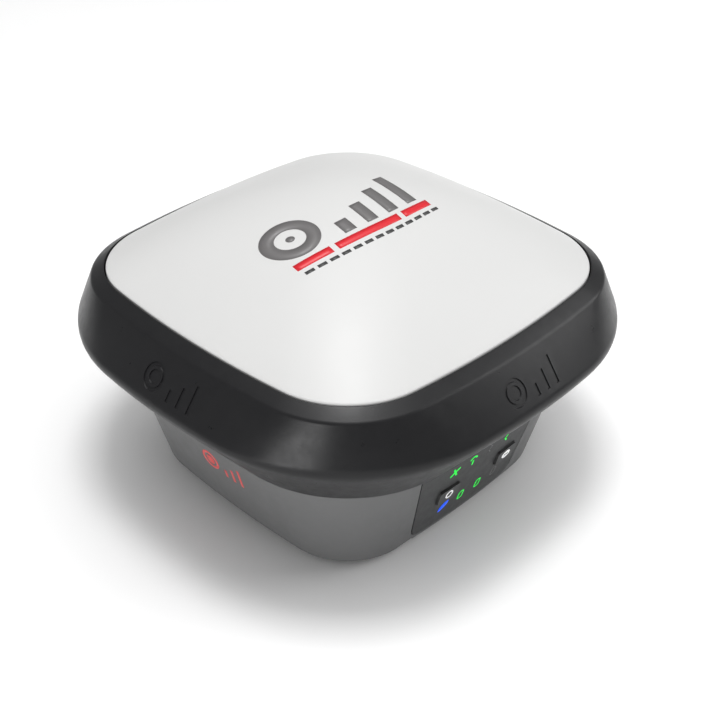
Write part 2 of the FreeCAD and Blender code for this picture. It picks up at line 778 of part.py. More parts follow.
def build_port(name, sign, nose, bore, pin_radius, pin_circle):
    """One connector in its well: shell, insulator, pins, nut and pull-off cap."""
    x = "%d * port_x" % sign
    flange = nose + " + port_flange"
    face = "seat_level - port_flange_thick"
    tip = "seat_level - port_reach"
    back = "well_roof + port_back"
    node(turned(name + "_shell_body", [(bore, tip), (nose, tip), (nose, face), (flange, face),
                                       (flange, "seat_level"), (nose, "seat_level"), (nose, back),
                                       (bore, back)],
                x, "port_y"), name + "_shell")
    places = [(x, "port_y")]
    if pin_circle:
        places += [("%s + %s * cos(%d)" % (x, pin_circle, 60 * number),
                    "port_y + %s * sin(%d)" % (pin_circle, 60 * number)) for number in range(6)]
    pins = [rod(name + "_pin", pin_radius, (tip + " + pin_sink", back + " + pin_out"), px, py)
            for px, py in places]
    holes = [rod(name + "_pin_hole", pin_radius, (tip, back + " + spare"), px, py) for px, py in places]
    filling = rod(name + "_filling", bore, (tip + " + filling_sink", back), x, "port_y")
    node(cut(name + "_insert_body", filling, *holes), name + "_insert")
    node(group(name + "_pin_set", pins), name + "_pins")
    node(cut(name + "_nut_body", nut(name + "_hex", nose + " + nut_rim", x),
             rod(name + "_nut_hole", nose, ("well_roof", back), x, "port_y")), name + "_nut")
    outer = "%s + cap_gap + cap_wall" % nose
    inner = "%s + cap_gap" % nose
    low = "floor_level + cap_lift"
    top = "seat_level - cap_stop"
    node(turned(name + "_cap_body", [(0, low), (outer, low), (outer, top), (inner, top),
                                     (inner, low + " + cap_wall"), (0, low + " + cap_wall")], x, "port_y"),
         name + "_cap")


def nut(name, radius, x):
    """A hexagonal nut above a well's roof, as wide over its corners as twice the radius."""
    item = doc.addObject("Part::Prism", name)
    item.Polygon = 6
    bind(item, "Circumradius", radius)
    bind(item, "Height", "nut_tall")
    return place(item, x, "port_y", "well_roof + wall")


def build_ports():
    build_port("data_port", -1, "data_nose", "data_bore", "data_pin", "data_pin_circle")
    build_port("antenna_port", 1, "antenna_nose", "antenna_bore", "antenna_pin", None)
    seals = []
    for sign, nose in ((-1, "data_nose"), (1, "antenna_nose")):
        x = "%d * port_x" % sign
        seals.append(cut("port_seal_ring",
                         rod("port_seal_out", nose + " + seal_rim", ("seat_level", "well_roof"), x, "port_y"),
                         rod("port_seal_in", nose, ("seat_level - spare", "well_roof + spare"), x, "port_y")))
    node(group("port_seal_set", seals), "port_seals")


# ---------------------------------------------------------------- keypad
def panel_prism(name, gap):
    """The keypad panel's outline through the front wall: wider at the top, round bottom corners."""
    wedge = doc.addObject("Part::Wedge", name + "_wedge")
    foot = "panel_foot_half + (%s)" % gap
    head = "panel_top_half + (%s)" % gap
    limits = {"Xmin": "-(%s)" % foot, "Xmax": foot, "X2min": "-(%s)" % head, "X2max": head,
              "Ymin": "panel_bottom - (%s)" % gap, "Ymax": "panel_top + (%s)" % gap,
              "Zmin": "-2 * wall", "Zmax": "wall", "Z2min": "-2 * wall", "Z2max": "wall"}
    for prop, text in limits.items():
        bind(wedge, prop, text)
    doc.recompute()
    low = wedge.Shape.BoundBox.YMin + 1e-4
    edges = [number for number, edge in enumerate(wedge.Shape.Edges, start=1)
             if edge.BoundBox.YMax < low and edge.BoundBox.ZLength > 1]
    outline = rounded(name, wedge, "panel_corner + (%s)" % gap, edges)
    return on_wall(outline, 1, "0", "0", "0", tipped=RIGHT_ANGLE)


def key_box(name, x, grow, depths):
    """A key's outline as a box through the front wall, grown by a margin."""
    half = "key_width / 2 + (%s)" % grow
    tall = "key_height / 2 + (%s)" % grow
    item = wall_box(name + "_box", 1, ("%s - (%s)" % (x, half), "%s + (%s)" % (x, half)), depths,
                    ("key_rise - (%s)" % tall, "key_rise + (%s)" % tall))
    return softened(name, item, "key_corner + (%s)" % grow, across_wall(1))


def key_places():
    return [("power_key", "(key_centre - key_pitch / 2)"), ("function_key", "(key_centre + key_pitch / 2)")]


def lamp_places():
    """Four lamps in each of two rows, above and below the keys."""
    return [("lamp_centre + %s * lamp_pitch" % step, "key_rise + %s * lamp_row" % row)
            for row in (1, -0.8) for step in (-1.5, -0.5, 0.5, 1.5)]


PAD_LEFT = "(key_centre - key_pitch / 2 - key_width / 2 - key_flange - window_margin)"
PAD_RIGHT = "(key_centre + key_pitch / 2 + key_width / 2 + key_flange + window_margin)"
PAD_LOW = "(key_rise - lamp_row - window_margin)"
PAD_HIGH = "(key_rise + lamp_row + window_margin + window_head)"


def pad_window(name, near, far, grow):
    """The window behind the panel, between two depths, grown by a margin."""
    return wall_box(name, 1, ("%s - (%s)" % (PAD_LEFT, grow), "%s + (%s)" % (PAD_RIGHT, grow)), (near, far),
                    ("%s - (%s)" % (PAD_LOW, grow), "%s + (%s)" % (PAD_HIGH, grow)))


def pad_ledge():
    """The ledge inside the wall that the keypad's board is screwed to."""
    return pad_window("pad_ledge", "wall - ledge_lap", "pad_board_depth", "ledge")


def pad_screw_places():
    return [(x, rise) for x in (PAD_LEFT + " - ledge / 2", PAD_RIGHT + " + ledge / 2")
            for rise in (PAD_LOW + " - ledge / 2", PAD_HIGH + " + ledge / 2")]


def build_keypad():
    """The panel in its pocket, two keys, their domes, the lamps with light pipes, and the board."""
    face = common("panel_face", shell("panel_layer", "0", "-panel_thickness"),
                  panel_prism("panel_outline", "0"))
    inside = skin("pipe_limit", "-overlay")
    rods = [wall_rod("pipe_rod", 1, "pipe_radius", x, ("-spare", "pad_board_depth - pipe_end"), rise)
            for x, rise in lamp_places()]
    pipes = [common("light_pipe", item, inside) for item in rods]
    openings = [key_box("key_opening", x, "key_gap", ("-wall", "2 * wall")) for label, x in key_places()]
    node(cut("panel_body", face, *openings, *pipes), "keypad_panel")
    node(group("pipe_set", pipes), "light_pipes")
    domes = []
    for label, x in key_places():
        front = common(label + "_front", shell(label + "_layer", "key_proud", "-key_depth"),
                       key_box(label + "_block", x, "0", ("-wall", "2 * wall")))
        flange = common(label + "_flange", shell(label + "_back", "-panel_thickness - key_gap", "-key_depth"),
                        key_box(label + "_skirt", x, "key_flange", ("-wall", "2 * wall")))
        node(fuse(label + "_body", front, flange), label)
        domes.append(wall_rod("key_dome", 1, "key_dome", x,
                              ("pad_board_depth - key_dome_rise", "pad_board_depth"), "key_rise"))
    node(group("dome_set", domes), "key_domes")
    lamps = [wall_box("lamp", 1, (x + " - lamp_half", x + " + lamp_half"),
                      ("pad_board_depth - lamp_thick", "pad_board_depth"),
                      (rise + " - lamp_tall", rise + " + lamp_tall")) for x, rise in lamp_places()]
    node(group("lamp_set", lamps), "status_leds")
    build_pad_board()


def build_pad_board():
    """The keypad's circuit board, its four screws and the flat cable to the main board."""
    back = "pad_board_depth + pad_board_thickness"
    board = pad_window("pad_board_form", "pad_board_depth", back, "ledge - ledge_gap")
    through = ("pad_board_depth - spare", back + " + spare")
    holes = [wall_rod("pad_board_hole", 1, "pad_screw", x, through, rise) for x, rise in pad_screw_places()]
    node(cut("pad_board_body", board, *holes), "keypad_board")
    screws = [fuse("pad_screw", wall_rod("pad_shank", 1, "pad_screw", x, ("wall + pad_screw", back), rise),
                   wall_rod("pad_head", 1, "2 * pad_screw", x, (back, back + " + pad_screw_head"), rise))
              for x, rise in pad_screw_places()]
    node(group("pad_screw_set", screws), "keypad_screws")
    turn = math.radians(value("lean"))
    depth = value(back)
    rise = value("key_rise")
    start = V(0, depth * math.cos(turn) - rise * math.sin(turn) - value("foot_half"),
              depth * math.sin(turn) + rise * math.cos(turn) + value("foot_level"))
    across = value("flex_lap - board_half")
    bend = start + across_wall(1) * ((across - start.y) / math.cos(turn))
    flat = Part.makePlane(value("2 * flex_half"), value("flex_thick"), V(value("-flex_half"), 0, 0), Z_AXIS)
    strip = swept("pad_strip", [start, bend, V(0, across, value("board_level"))], flat)
    node(strip, "keypad_flex")


# ---------------------------------------------------------------- battery
CONTACT_Y = "(bay_front - contact_half_thick - contact_sink)"
CONTACT_ZS = ("bay_bottom + contact_rise", "bay_bottom + contact_rise + contact_tall")


def bay_screw_places():
    return [("%s(battery_half - bay_screw_side)" % sign, y) for sign in "+-"
            for y in ("(battery_front + bay_screw_front)", "(battery_back - bay_screw_back)")]


def build_bay():
    """The tray that the battery slides into, with a flange behind the back opening, and its screws."""
    seat = "-wall - bay_seat"
    hollow = box("bay_hollow", ("-bay_half", "bay_half"), ("bay_front", "width / 2"),
                 ("bay_bottom", "bay_top"))
    tray = common("bay_tray", skin("bay_limit", seat, "floor_top", "rim_level"),
                  box("bay_walls", ("-bay_half - bay_wall", "bay_half + bay_wall"),
                      ("bay_front - bay_wall", "width / 2"), ("bay_bottom - bay_wall", "bay_top + bay_wall")))
    side = "(bay_half + bay_wall + bay_flange)"
    flange = common("bay_flange_ring", shell("bay_layer", seat, seat + " - bay_flange_thick", "floor_top"),
                    box("bay_flange_box", ("-" + side, side),
                        ("bay_front + battery_depth / 2", "width / 2"),
                        ("bay_bottom - bay_wall - bay_flange / 2", "bay_top + bay_wall + seal_trim")))
    feet = [rod("bay_foot", "column_radius", ("floor_top", "bay_bottom - bay_wall / 2"), x, y)
            for x, y in bay_screw_places()]
    tools = [hollow, centred("contact_hole", "contact_half", "2 * bay_wall", CONTACT_ZS, "0", "bay_front")]
    for x, y in bay_screw_places():
        tools.append(rod("bay_shank_hole", "small_screw", ("floor_top - spare", "bay_bottom + spare"), x, y))
        tools.append(rod("bay_head_hole", "small_head",
                         ("bay_bottom - bay_head_sink", "bay_bottom + spare"), x, y))
    node(cut("bay_body", fuse("bay_solid", tray, flange, *feet), *tools), "battery_bay")
    screws = [screw("bay_screw", x, y, "small_head",
                    ("bay_bottom - bay_head_sink", "bay_bottom - bay_head_gap"), "small_screw",
                    "floor_top - bay_screw_bite") for x, y in bay_screw_places()]
    node(group("bay_screw_set", screws), "bay_screws")


def build_battery():
    """The pack, its sprung contacts in their block, and the two leads up to the main board."""
    form = box("battery_form", ("-battery_half", "battery_half"), ("battery_front", "battery_back"),
               ("battery_level", "battery_top"))
    node(softened("battery_round", form, "battery_edge", X_AXIS), "battery_pack")
    block = centred("contact_form", "contact_half", "contact_half_thick", CONTACT_ZS, "0", CONTACT_Y)
    blades = []
    slots = []
    zs = (CONTACT_ZS[0] + " + blade_margin", CONTACT_ZS[1] + " - blade_margin")
    for x in ("-blade_pitch", "0", "blade_pitch"):
        slots.append(centred("blade_slot", "blade_half", "blade_half_thick + blade_gap", zs, x,
                             "bay_front - blade_half_thick + blade_gap"))
        blades.append(centred("blade", "blade_half", "blade_half_thick", zs, x,
                              "bay_front - blade_half_thick"))
    node(cut("contact_body", block, *slots), "contact_block")
    node(group("blade_set", blades), "battery_contacts")
    circle = Part.Face(Part.Wire(Part.makeCircle(value("lead_radius"))))
    leads = [swept("battery_lead", lead_route(x), circle) for x in ("-lead_at", "lead_at")]
    node(group("lead_set", leads), "battery_leads")


def lead_route(x):
    """From the back of the contact block, away from the bay and up to the main board."""
    start = V(value(x), value(CONTACT_Y + " - contact_half_thick"),
              value(CONTACT_ZS[1] + " - contact_tall / 2"))
    corner = start - V(0, value("lead_step"), 0)
    return [start, corner, V(corner.x, corner.y, value("board_level"))]


def build_cover():
    """The battery cover: a piece of the back wall with ribs that hold the pack, and its seal."""
    layer = shell("cover_layer", "0", "-wall")
    outline = softened("cover_outline", cover_box("cover_outline_box", "0"), "cover_corner", V(0, 1, 0))
    face = common("cover_face", layer, outline)
    ribs = [box("cover_rib", ("cover_rib_inset - battery_half", "battery_half - cover_rib_inset"),
                ("battery_back", "width / 2"), zs)
            for zs in (("battery_level + cover_rib", "battery_level + 2 * cover_rib"),
                       ("battery_top - 2 * cover_rib", "battery_top - cover_rib"))]
    ribs = common("cover_ribs", fuse("cover_rib_pair", *ribs), skin("cover_limit", "-wall / 2"))
    recess = wall_box("knob_recess", -1, ("-latch_half - latch_gap", "latch_half + latch_gap"),
                      ("-latch_recess", "wall"),
                      ("latch_rise - knob_half - latch_gap",
                       "latch_rise + knob_half + latch_travel + latch_gap"))
    slot = wall_box("stem_slot", -1,
                    ("latch_step - latch_half - latch_gap", "latch_half - latch_step + latch_gap"),
                    ("-2 * wall", "wall"),
                    ("latch_rise - stem_half - latch_gap",
                     "latch_rise + stem_half + latch_travel + latch_gap"))
    node(cut("cover_body", fuse("cover_solid", face, ribs), recess, slot), "battery_cover")
    reach = "(bay_half + bay_wall + bay_flange - seal_trim)"
    ring = box("cover_seal_out", ("-" + reach, reach), ("battery_back - mouth_reach", "width / 2"),
               ("bay_bottom - bay_wall - 2.5 * seal_trim", "bay_top + bay_wall + seal_trim / 2"))
    hole = box("cover_seal_in", ("-bay_half - seal_lip", "bay_half + seal_lip"),
               ("battery_back - 2 * mouth_reach", "width"), ("bay_bottom - seal_lip", "bay_top + seal_trim"))
    layer = shell("cover_seal_layer", "-wall", "-wall - cover_seal")
    node(cut("cover_seal_body", common("cover_seal_ring", layer, ring), hole), "cover_gasket")


def build_latch():
    """The cover's slide latch: a ridged knob outside, a stem through the slot, a bolt behind."""
    knob = wall_box("latch_knob", -1, ("-latch_half", "latch_half"), ("-knob_back", "knob_proud"),
                    ("latch_rise - knob_half", "latch_rise + knob_half"))
    stem = wall_box("latch_stem", -1, ("latch_step - latch_half", "latch_half - latch_step"),
                    ("-wall - stem_end", "-stem_end"), ("latch_rise - stem_half", "latch_rise + stem_half"))
    bolt = wall_box("latch_bolt", -1, ("-latch_half - latch_step", "latch_half + latch_step"),
                    ("-wall - bolt_far", "-wall - bolt_near"),
                    ("latch_rise - bolt_low", "latch_rise + bolt_high"))
    middles = ["latch_rise + %s * groove_pitch" % step for step in (-1.5, -0.5, 0.5, 1.5)]
    grooves = [wall_box("latch_groove", -1, ("-latch_half - spare", "latch_half + spare"),
                        ("knob_cut", "wall"), (middle + " - groove_half", middle + " + groove_half"))
               for middle in middles]
    node(cut("latch_body", fuse("latch_solid", knob, stem, bolt), *grooves), "cover_latch")


# ---------------------------------------------------------------- boards
def build_main_board():
    """The main circuit board on the midframe's standoffs, with its screws."""
    slab = centred("board_box", "board_half", "board_half", ("board_level", "board_top"))
    form = softened("board_form", slab, "board_corner", Z_AXIS)
    holes = [rod("board_column_hole", "column_radius + column_gap",
                 ("board_level - spare", "board_top + spare"), x, y)
             for x, y in four("column_x", "column_y")]
    holes += [rod("board_screw_hole", "small_screw", ("board_level - spare", "board_top + spare"), x, y)
              for x, y in four("standoff_x", "standoff_y")]
    node(cut("board_body", form, *holes), "main_board")
    screws = [screw("board_screw", x, y, "small_head", ("board_level - small_head_height", "board_level"),
                    "small_screw", "board_top + standoff_hole - blind_end")
              for x, y in four("standoff_x", "standoff_y")]
    node(group("board_screw_set", screws), "board_screws")


def build_modules():
    """The shielded circuits and the short-range antenna on top of the main board: where each one
    lies on the board, left to right and front to back, and how tall it is."""
    edge = "4 * can_corner - board_half"
    modules = {
        "gnss_shield": (("10", "42"), ("-8", "24"), "receiver_can"),
        "radio_module": (("-42", "-8"), ("0", "26"), "5"),
        "modem_shield": (("-30", "-2"), ("-34", "-6"), "3"),
        "wireless_antenna": (("10", "34"), (edge, edge + " + 8"), "3.4"),
    }
    for label, (xs, ys, tall) in modules.items():
        form = box(label + "_form", xs, ys, ("board_top", "board_top + " + tall))
        node(softened(label + "_can", form, "can_corner", Z_AXIS), label)


def build_card():
    """The memory card in its socket under the main board, reached when the cover is off."""
    left = "card_x - card_width / 2"
    right = "card_x + card_width / 2"
    low = "board_level - card_drop"
    form = box("socket_form", (left + " - socket_wall", right + " + socket_wall"),
               ("board_half - card_length - socket_lap", "board_half"),
               ("board_level - socket_thick", "board_level"))
    slot = box("socket_slot", (left + " - card_gap", right + " + card_gap"),
               ("board_half - card_length + slot_end", "board_half + spare"),
               (low + " - slot_gap", low + " + card_thick + slot_gap"))
    node(cut("socket_body", form, slot), "card_socket")
    node(box("card_form", (left, right), ("board_half - card_length + card_proud", "board_half + card_proud"),
             (low, low + " + card_thick")), "memory_card")


# ---------------------------------------------------------------- antenna
AMPLIFIER_LOW = "ground_level - amplifier_tall"


def build_antenna():
    """The satellite antenna: ground plane on standoffs, two patches, feed pins and amplifier can."""
    feeds = [("feed_circle * cos(%d)" % angle, "feed_circle * sin(%d)" % angle)
             for angle in (0, 90, 180, 270)]

    def pierced(label, form, zs):
        holes = [rod("feed_hole", "feed_radius", (zs[0] + " - spare", zs[1] + " + spare"), x, y)
                 for x, y in feeds]
        node(cut(label + "_body", form, *holes), label)
    posts = [rod("antenna_post", "post_radius", ("plate_top", "ground_level"), x, y)
             for x, y in four("post_at", "post_at")]
    node(group("antenna_post_set", posts), "antenna_standoffs")
    pierced("antenna_ground_plane", rod("ground_disc", "ground_radius", ("ground_level", "ground_top")),
            ("ground_level", "ground_top"))
    for label, side, zs in (("antenna_lower_patch", "lower_patch", ("ground_top", "patch_level")),
                            ("antenna_upper_patch", "upper_patch", ("patch_level", "patch_top"))):
        slab = centred(label + "_slab", side + " / 2", side + " / 2", zs)
        pierced(label, softened(label + "_form", slab, "patch_corner", Z_AXIS), zs)
    pins = [rod("feed_pin", "feed_radius", ("ground_level", "patch_top + feed_proud"), x, y) for x, y in feeds]
    node(group("feed_pin_set", pins), "feed_pins")
    can = centred("amplifier_form", "amplifier_half_x", "amplifier_half_y", (AMPLIFIER_LOW, "ground_level"))
    node(softened("amplifier_can", can, "can_corner", Z_AXIS), "lna_shield")
    start = V(value("coax_x"), value("coax_y"), value("board_top + receiver_can"))
    end = V(0, 0, value(AMPLIFIER_LOW))
    run = value("coax_run")
    route = [start, start + Z_AXIS * run, end - Z_AXIS * run, end]
    circle = Part.Face(Part.Wire(Part.makeCircle(value("coax_radius"))))
    node(swept("coax_body", route, circle), "antenna_coax")


def swept(name, points, section):
    """A flat or round section carried along straight runs joined by tangent arcs. The section lies
    about the origin in the XY plane and its x axis stays level."""
    edges = []
    last = points[0]
    for before, corner, after in zip(points, points[1:], points[2:]):
        into = (corner - before).normalize()
        out = (after - corner).normalize()
        half_turn = into.getAngle(out) / 2
        setback = 0.45 * min((corner - before).Length, (after - corner).Length)
        start = corner - into * setback
        end = corner + out * setback
        radius = setback / math.tan(half_turn)
        inward = (out - into).normalize()
        middle = corner + inward * (radius / math.cos(half_turn) - radius)
        edges.append(Part.LineSegment(last, start).toShape())
        edges.append(Part.Arc(start, middle, end).toShape())
        last = end
    edges.append(Part.LineSegment(last, points[-1]).toShape())
    path = Part.Wire(edges)
    profile = section.OuterWire.copy()
    centre = profile.BoundBox.Center
    profile.translate(centre * -1)
    profile.Placement = FreeCAD.Placement(points[0], facing(points[1] - points[0])) * profile.Placement
    item = doc.addObject("Part::Feature", name)
    item.Shape = path.makePipeShell([profile], True, False)
    return item


def facing(direction):
    """The turn that takes +Z to a direction and leaves the x axis as level as it can be."""
    side = X_AXIS if abs(direction.x) < direction.Length / 2 else V(0, 1, 0)
    return FreeCAD.Rotation(side, V(0, 0, 0), direction, "ZXY")


# ---------------------------------------------------------------- build, check and write
def check(items):
    failed = [item.Name for item in items if "Invalid" in item.State or "Error" in item.State]
    for item in nodes:
        shape = item.Shape
        if shape.isNull() or not shape.isValid() or not shape.Solids:
            failed.append(item.Label)
    if failed:
        raise RuntimeError("failed: " + ", ".join(failed))


build_radome()
build_bumper()
build_housing()
build_midframe()
build_gaskets()
build_case_screws()
build_mount()
build_underside()
build_ports()
build_keypad()
build_bay()
build_battery()
build_cover()
build_latch()
build_main_board()
build_modules()
build_card()
build_antenna()
doc.recompute()
check(doc.Objects)
os.makedirs("parts", exist_ok=True)
for item in nodes:
    item.Shape.exportStep("parts/%s.step" % item.Label)
print(len(nodes), "nodes written")
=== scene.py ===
import json
import math
import bmesh
import bpy
import numpy as np
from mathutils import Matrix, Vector


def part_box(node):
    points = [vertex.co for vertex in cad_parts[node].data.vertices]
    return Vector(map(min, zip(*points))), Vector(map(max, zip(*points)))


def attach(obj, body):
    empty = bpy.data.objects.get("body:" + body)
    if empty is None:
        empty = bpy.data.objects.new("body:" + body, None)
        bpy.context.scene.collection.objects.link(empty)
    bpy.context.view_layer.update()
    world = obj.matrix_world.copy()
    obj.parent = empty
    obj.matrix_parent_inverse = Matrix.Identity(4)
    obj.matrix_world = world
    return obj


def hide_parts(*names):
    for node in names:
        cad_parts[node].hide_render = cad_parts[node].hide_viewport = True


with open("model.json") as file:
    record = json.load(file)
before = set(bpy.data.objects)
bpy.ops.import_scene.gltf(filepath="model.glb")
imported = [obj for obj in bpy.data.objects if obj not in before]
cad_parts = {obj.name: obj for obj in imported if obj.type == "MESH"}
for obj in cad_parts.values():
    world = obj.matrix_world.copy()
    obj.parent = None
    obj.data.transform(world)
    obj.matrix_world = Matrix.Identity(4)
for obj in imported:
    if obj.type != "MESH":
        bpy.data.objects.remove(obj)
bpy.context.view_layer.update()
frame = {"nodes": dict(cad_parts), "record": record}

# A surveying receiver on a pale floor. Metres, +Z up, the keypad on the -Y wall, the battery cover on the
# +Y wall. Every place comes from the frame's boxes and the few sizes named here.

MM = 0.001

# ---------------------------------------------------------------- sizes shared by several pieces
radome_low, radome_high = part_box("radome")
bumper_low, bumper_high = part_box("bumper_ring")
housing_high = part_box("lower_housing")[1]

SEAM_LEVEL = bumper_high[2]
LIP_LEVEL = bumper_low[2]
TOP_LEVEL = radome_high[2]
SKIRT_LEVEL = radome_low[2]
RIM_LEVEL = housing_high[2]
CREST_LEVEL = SEAM_LEVEL - 18.7 * MM
CREASE_LEVEL = SEAM_LEVEL - 3.0 * MM
HOOK_LEVEL = LIP_LEVEL + 5.7 * MM

# a bowed square is its half-width, the radius of its sides and the radius of its corners
SEAM = np.array([radome_high[0], 370 * MM, 31 * MM])
CREST = np.array([bumper_high[0], 272.6 * MM, 63.5 * MM])
ROUNDING_LOSS = 0.9 * MM
RIM = np.array([housing_high[0], 444.5 * MM, 38.25 * MM])
TAPER = 0.26
DOME_POWER = 2
WALL = 2.5 * MM
BUMPER_WALL = 3.0 * MM
SEAM_GAP = 0.5 * MM
EDGE_SETBACK = 0.7 * MM
MOUTH_LEVEL = SEAM_LEVEL - 5.5 * MM
CREASE_STEP = 5.4 * MM
LIP_PROUD = 6.0 * MM
HOOK_GAP = 0.4 * MM

SIDE_STEPS = 44
CORNER_STEPS = 36
PRINT_LIFT = 0.05 * MM
PRINT_DEPTH = 0.3 * MM
FLOOR_HALF = 1.3
FLOOR_LEVEL = -0.05 * MM
WALL_NODES = ("lower_housing", "keypad_panel", "battery_cover", "power_key", "function_key")
QUARTER = math.pi / 2


# ---------------------------------------------------------------- level curves
def arcs(sizes):
    """Of a bowed square: how far behind the middle its side arcs are centred, how far out along both
    axes its corner arcs are centred, and the angle at which a side arc hands over to a corner arc."""
    half, side, corner = sizes
    bow = side - half
    middle = (math.sqrt(2 * (side - corner) ** 2 - bow ** 2) - bow) / 2
    return bow, middle, math.atan2(middle, middle + bow)


def bowed_square(sizes):
    """The outline of a square with bowed sides and round corners, as points in turn: four side arcs
    centred behind the middle of the square and four corner arcs centred on its diagonals, every arc
    tangent to the next."""
    side, corner = sizes[1:]
    bow, middle, swing = arcs(sizes)
    on_side = np.linspace(-swing, swing, SIDE_STEPS, endpoint=False)
    on_corner = np.linspace(swing, QUARTER - swing, CORNER_STEPS, endpoint=False)
    x = np.concatenate([side * np.cos(on_side) - bow, middle + corner * np.cos(on_corner)])
    y = np.concatenate([side * np.sin(on_side), middle + corner * np.sin(on_corner)])
    turns = [(x, y), (-y, x), (-x, -y), (y, -x)]
    return np.concatenate([np.stack(turn, 1) for turn in turns])


def ring(sizes, z, scale=1.0):
    """A bowed square lifted to height z."""
    outline = bowed_square(np.asarray(sizes)) * scale
    return np.column_stack([outline, np.full(len(outline), z)])


def grown(sizes, offset):
    """The curve at a constant distance outside another one."""
    return np.asarray(sizes) + offset


def housing_sizes(z):
    """The housing wall's level curve at height z, which shrinks evenly below the rim."""
    return grown(RIM, -TAPER * (RIM_LEVEL - z))


def wall_normal(plan):
    """The housing wall's outward direction above a point in plan. A level curve's arcs keep their
    centres at every height, so the direction in plan is away from the centre of the arc beside the
    point, and the wall leans by its taper."""
    bow, middle, swing = arcs(RIM)
    bearing = np.arctan2(plan[:, 1], plan[:, 0])
    turn = np.round(bearing / QUARTER) * QUARTER
    x = plan[:, 0] * np.cos(turn) + plan[:, 1] * np.sin(turn)
    y = plan[:, 1] * np.cos(turn) - plan[:, 0] * np.sin(turn)
    on_side = np.arctan2(y, x + bow)
    on_corner = np.arctan2(np.abs(y) - middle, x - middle) * np.sign(y)
    angle = turn + np.where(np.abs(on_side) <= swing, on_side, on_corner)
    flat = np.stack([np.cos(angle), np.sin(angle), np.full(len(plan), -TAPER)], 1)
    return unit(flat)


def unit(rows):
    """Each vector brought to length 1."""
    return rows / np.maximum(np.linalg.norm(rows, axis=-1, keepdims=True), 1e-12)


def eased(rows, setbacks, steps=7):
    """Rows of a section with each corner replaced by a curve: a quadratic Bezier from a point short of
    the corner, by the setback, to a point as far beyond it. A setback of 0 keeps the row as it is."""
    result = []
    count = len(rows)
    for number, (row, setback) in enumerate(zip(rows, setbacks)):
        if setback == 0:
            result.append(row)
            continue
        before = rows[(number - 1) % count] - row
        after = rows[(number + 1) % count] - row
        reach_in = np.minimum(setback, 0.48 * np.linalg.norm(before, axis=1, keepdims=True))
        reach_out = np.minimum(setback, 0.48 * np.linalg.norm(after, axis=1, keepdims=True))
        start = row + unit(before) * reach_in
        end = row + unit(after) * reach_out
        for t in np.linspace(0, 1, steps):
            result.append((1 - t) ** 2 * start + 2 * t * (1 - t) * row + t ** 2 * end)
    return np.array(result)


# ---------------------------------------------------------------- meshes
def mesh_piece(name, points, quads, triangles=()):
    """An object at the origin from a point array and arrays of faces."""
    mesh = bpy.data.meshes.new(name)
    faces = [tuple(face) for face in np.asarray(quads).tolist()] + [tuple(face) for face in triangles]
    mesh.from_pydata(np.asarray(points).tolist(), [], faces)
    mesh.shade_smooth()
    piece = bpy.data.objects.new(name, mesh)
    bpy.context.scene.collection.objects.link(piece)
    return piece


def grid_quads(rows, columns, wrap_rows=False):
    """The quads of a grid of points stored row by row. Every row is closed on itself, and with
    wrap_rows the last row joins the first."""
    row, column = np.meshgrid(np.arange(rows if wrap_rows else rows - 1), np.arange(columns), indexing="ij")
    below = (row + 1) % rows
    beside = (column + 1) % columns
    corners = [row * columns + column, row * columns + beside,
               below * columns + beside, below * columns + column]
    return np.stack([corner.ravel() for corner in corners], 1)


def tube_piece(name, rows):
    """A closed skin from rows that run round the piece and join up with the first row again."""
    count, around = rows.shape[:2]
    return outward(mesh_piece(name, rows.reshape(-1, 3), grid_quads(count, around, wrap_rows=True)))


def capped_piece(name, rows):
    """A closed skin from rows round an axis, its first and last rows closed by a point each."""
    count, around = rows.shape[:2]
    points = np.concatenate([rows.reshape(-1, 3), rows[:1].mean(axis=1), rows[-1:].mean(axis=1)])
    step = np.arange(around)
    beside = (step + 1) % around
    last = (count - 1) * around
    first_fan = np.stack([np.full(around, count * around), beside, step], 1)
    last_fan = np.stack([np.full(around, count * around + 1), last + step, last + beside], 1)
    fans = [tuple(face) for face in np.concatenate([first_fan, last_fan]).tolist()]
    return outward(mesh_piece(name, points, grid_quads(count, around), fans))


def outward(piece):
    """Turns a closed piece's faces to point out of it."""
    work = bmesh.new()
    work.from_mesh(piece.data)
    bmesh.ops.recalc_face_normals(work, faces=work.faces)
    work.to_mesh(piece.data)
    work.free()
    return piece


def joined(name, pieces):
    """Several new pieces as one object."""
    with bpy.context.temp_override(active_object=pieces[0], selected_editable_objects=pieces):
        bpy.ops.object.join()
    pieces[0].name = name
    return pieces[0]


def applied(piece):
    """The piece with its modifiers made part of its mesh."""
    graph = bpy.context.evaluated_depsgraph_get()
    mesh = bpy.data.meshes.new_from_object(piece.evaluated_get(graph))
    piece.modifiers.clear()
    piece.data = mesh
    return piece


def sharpened(piece, degrees=32):
    """Smooth shading that breaks at edges steeper than an angle."""
    piece.data.shade_smooth()
    piece.data.set_sharp_from_angle(angle=math.radians(degrees))
    return piece


def carved(piece, cutter):
    """The piece with the cutter's shape taken out."""
    tool = piece.modifiers.new("carve", "BOOLEAN")
    tool.operation = "DIFFERENCE"
    tool.solver = "EXACT"
    tool.object = cutter
    applied(piece)
    bpy.data.objects.remove(cutter)
    return sharpened(piece)


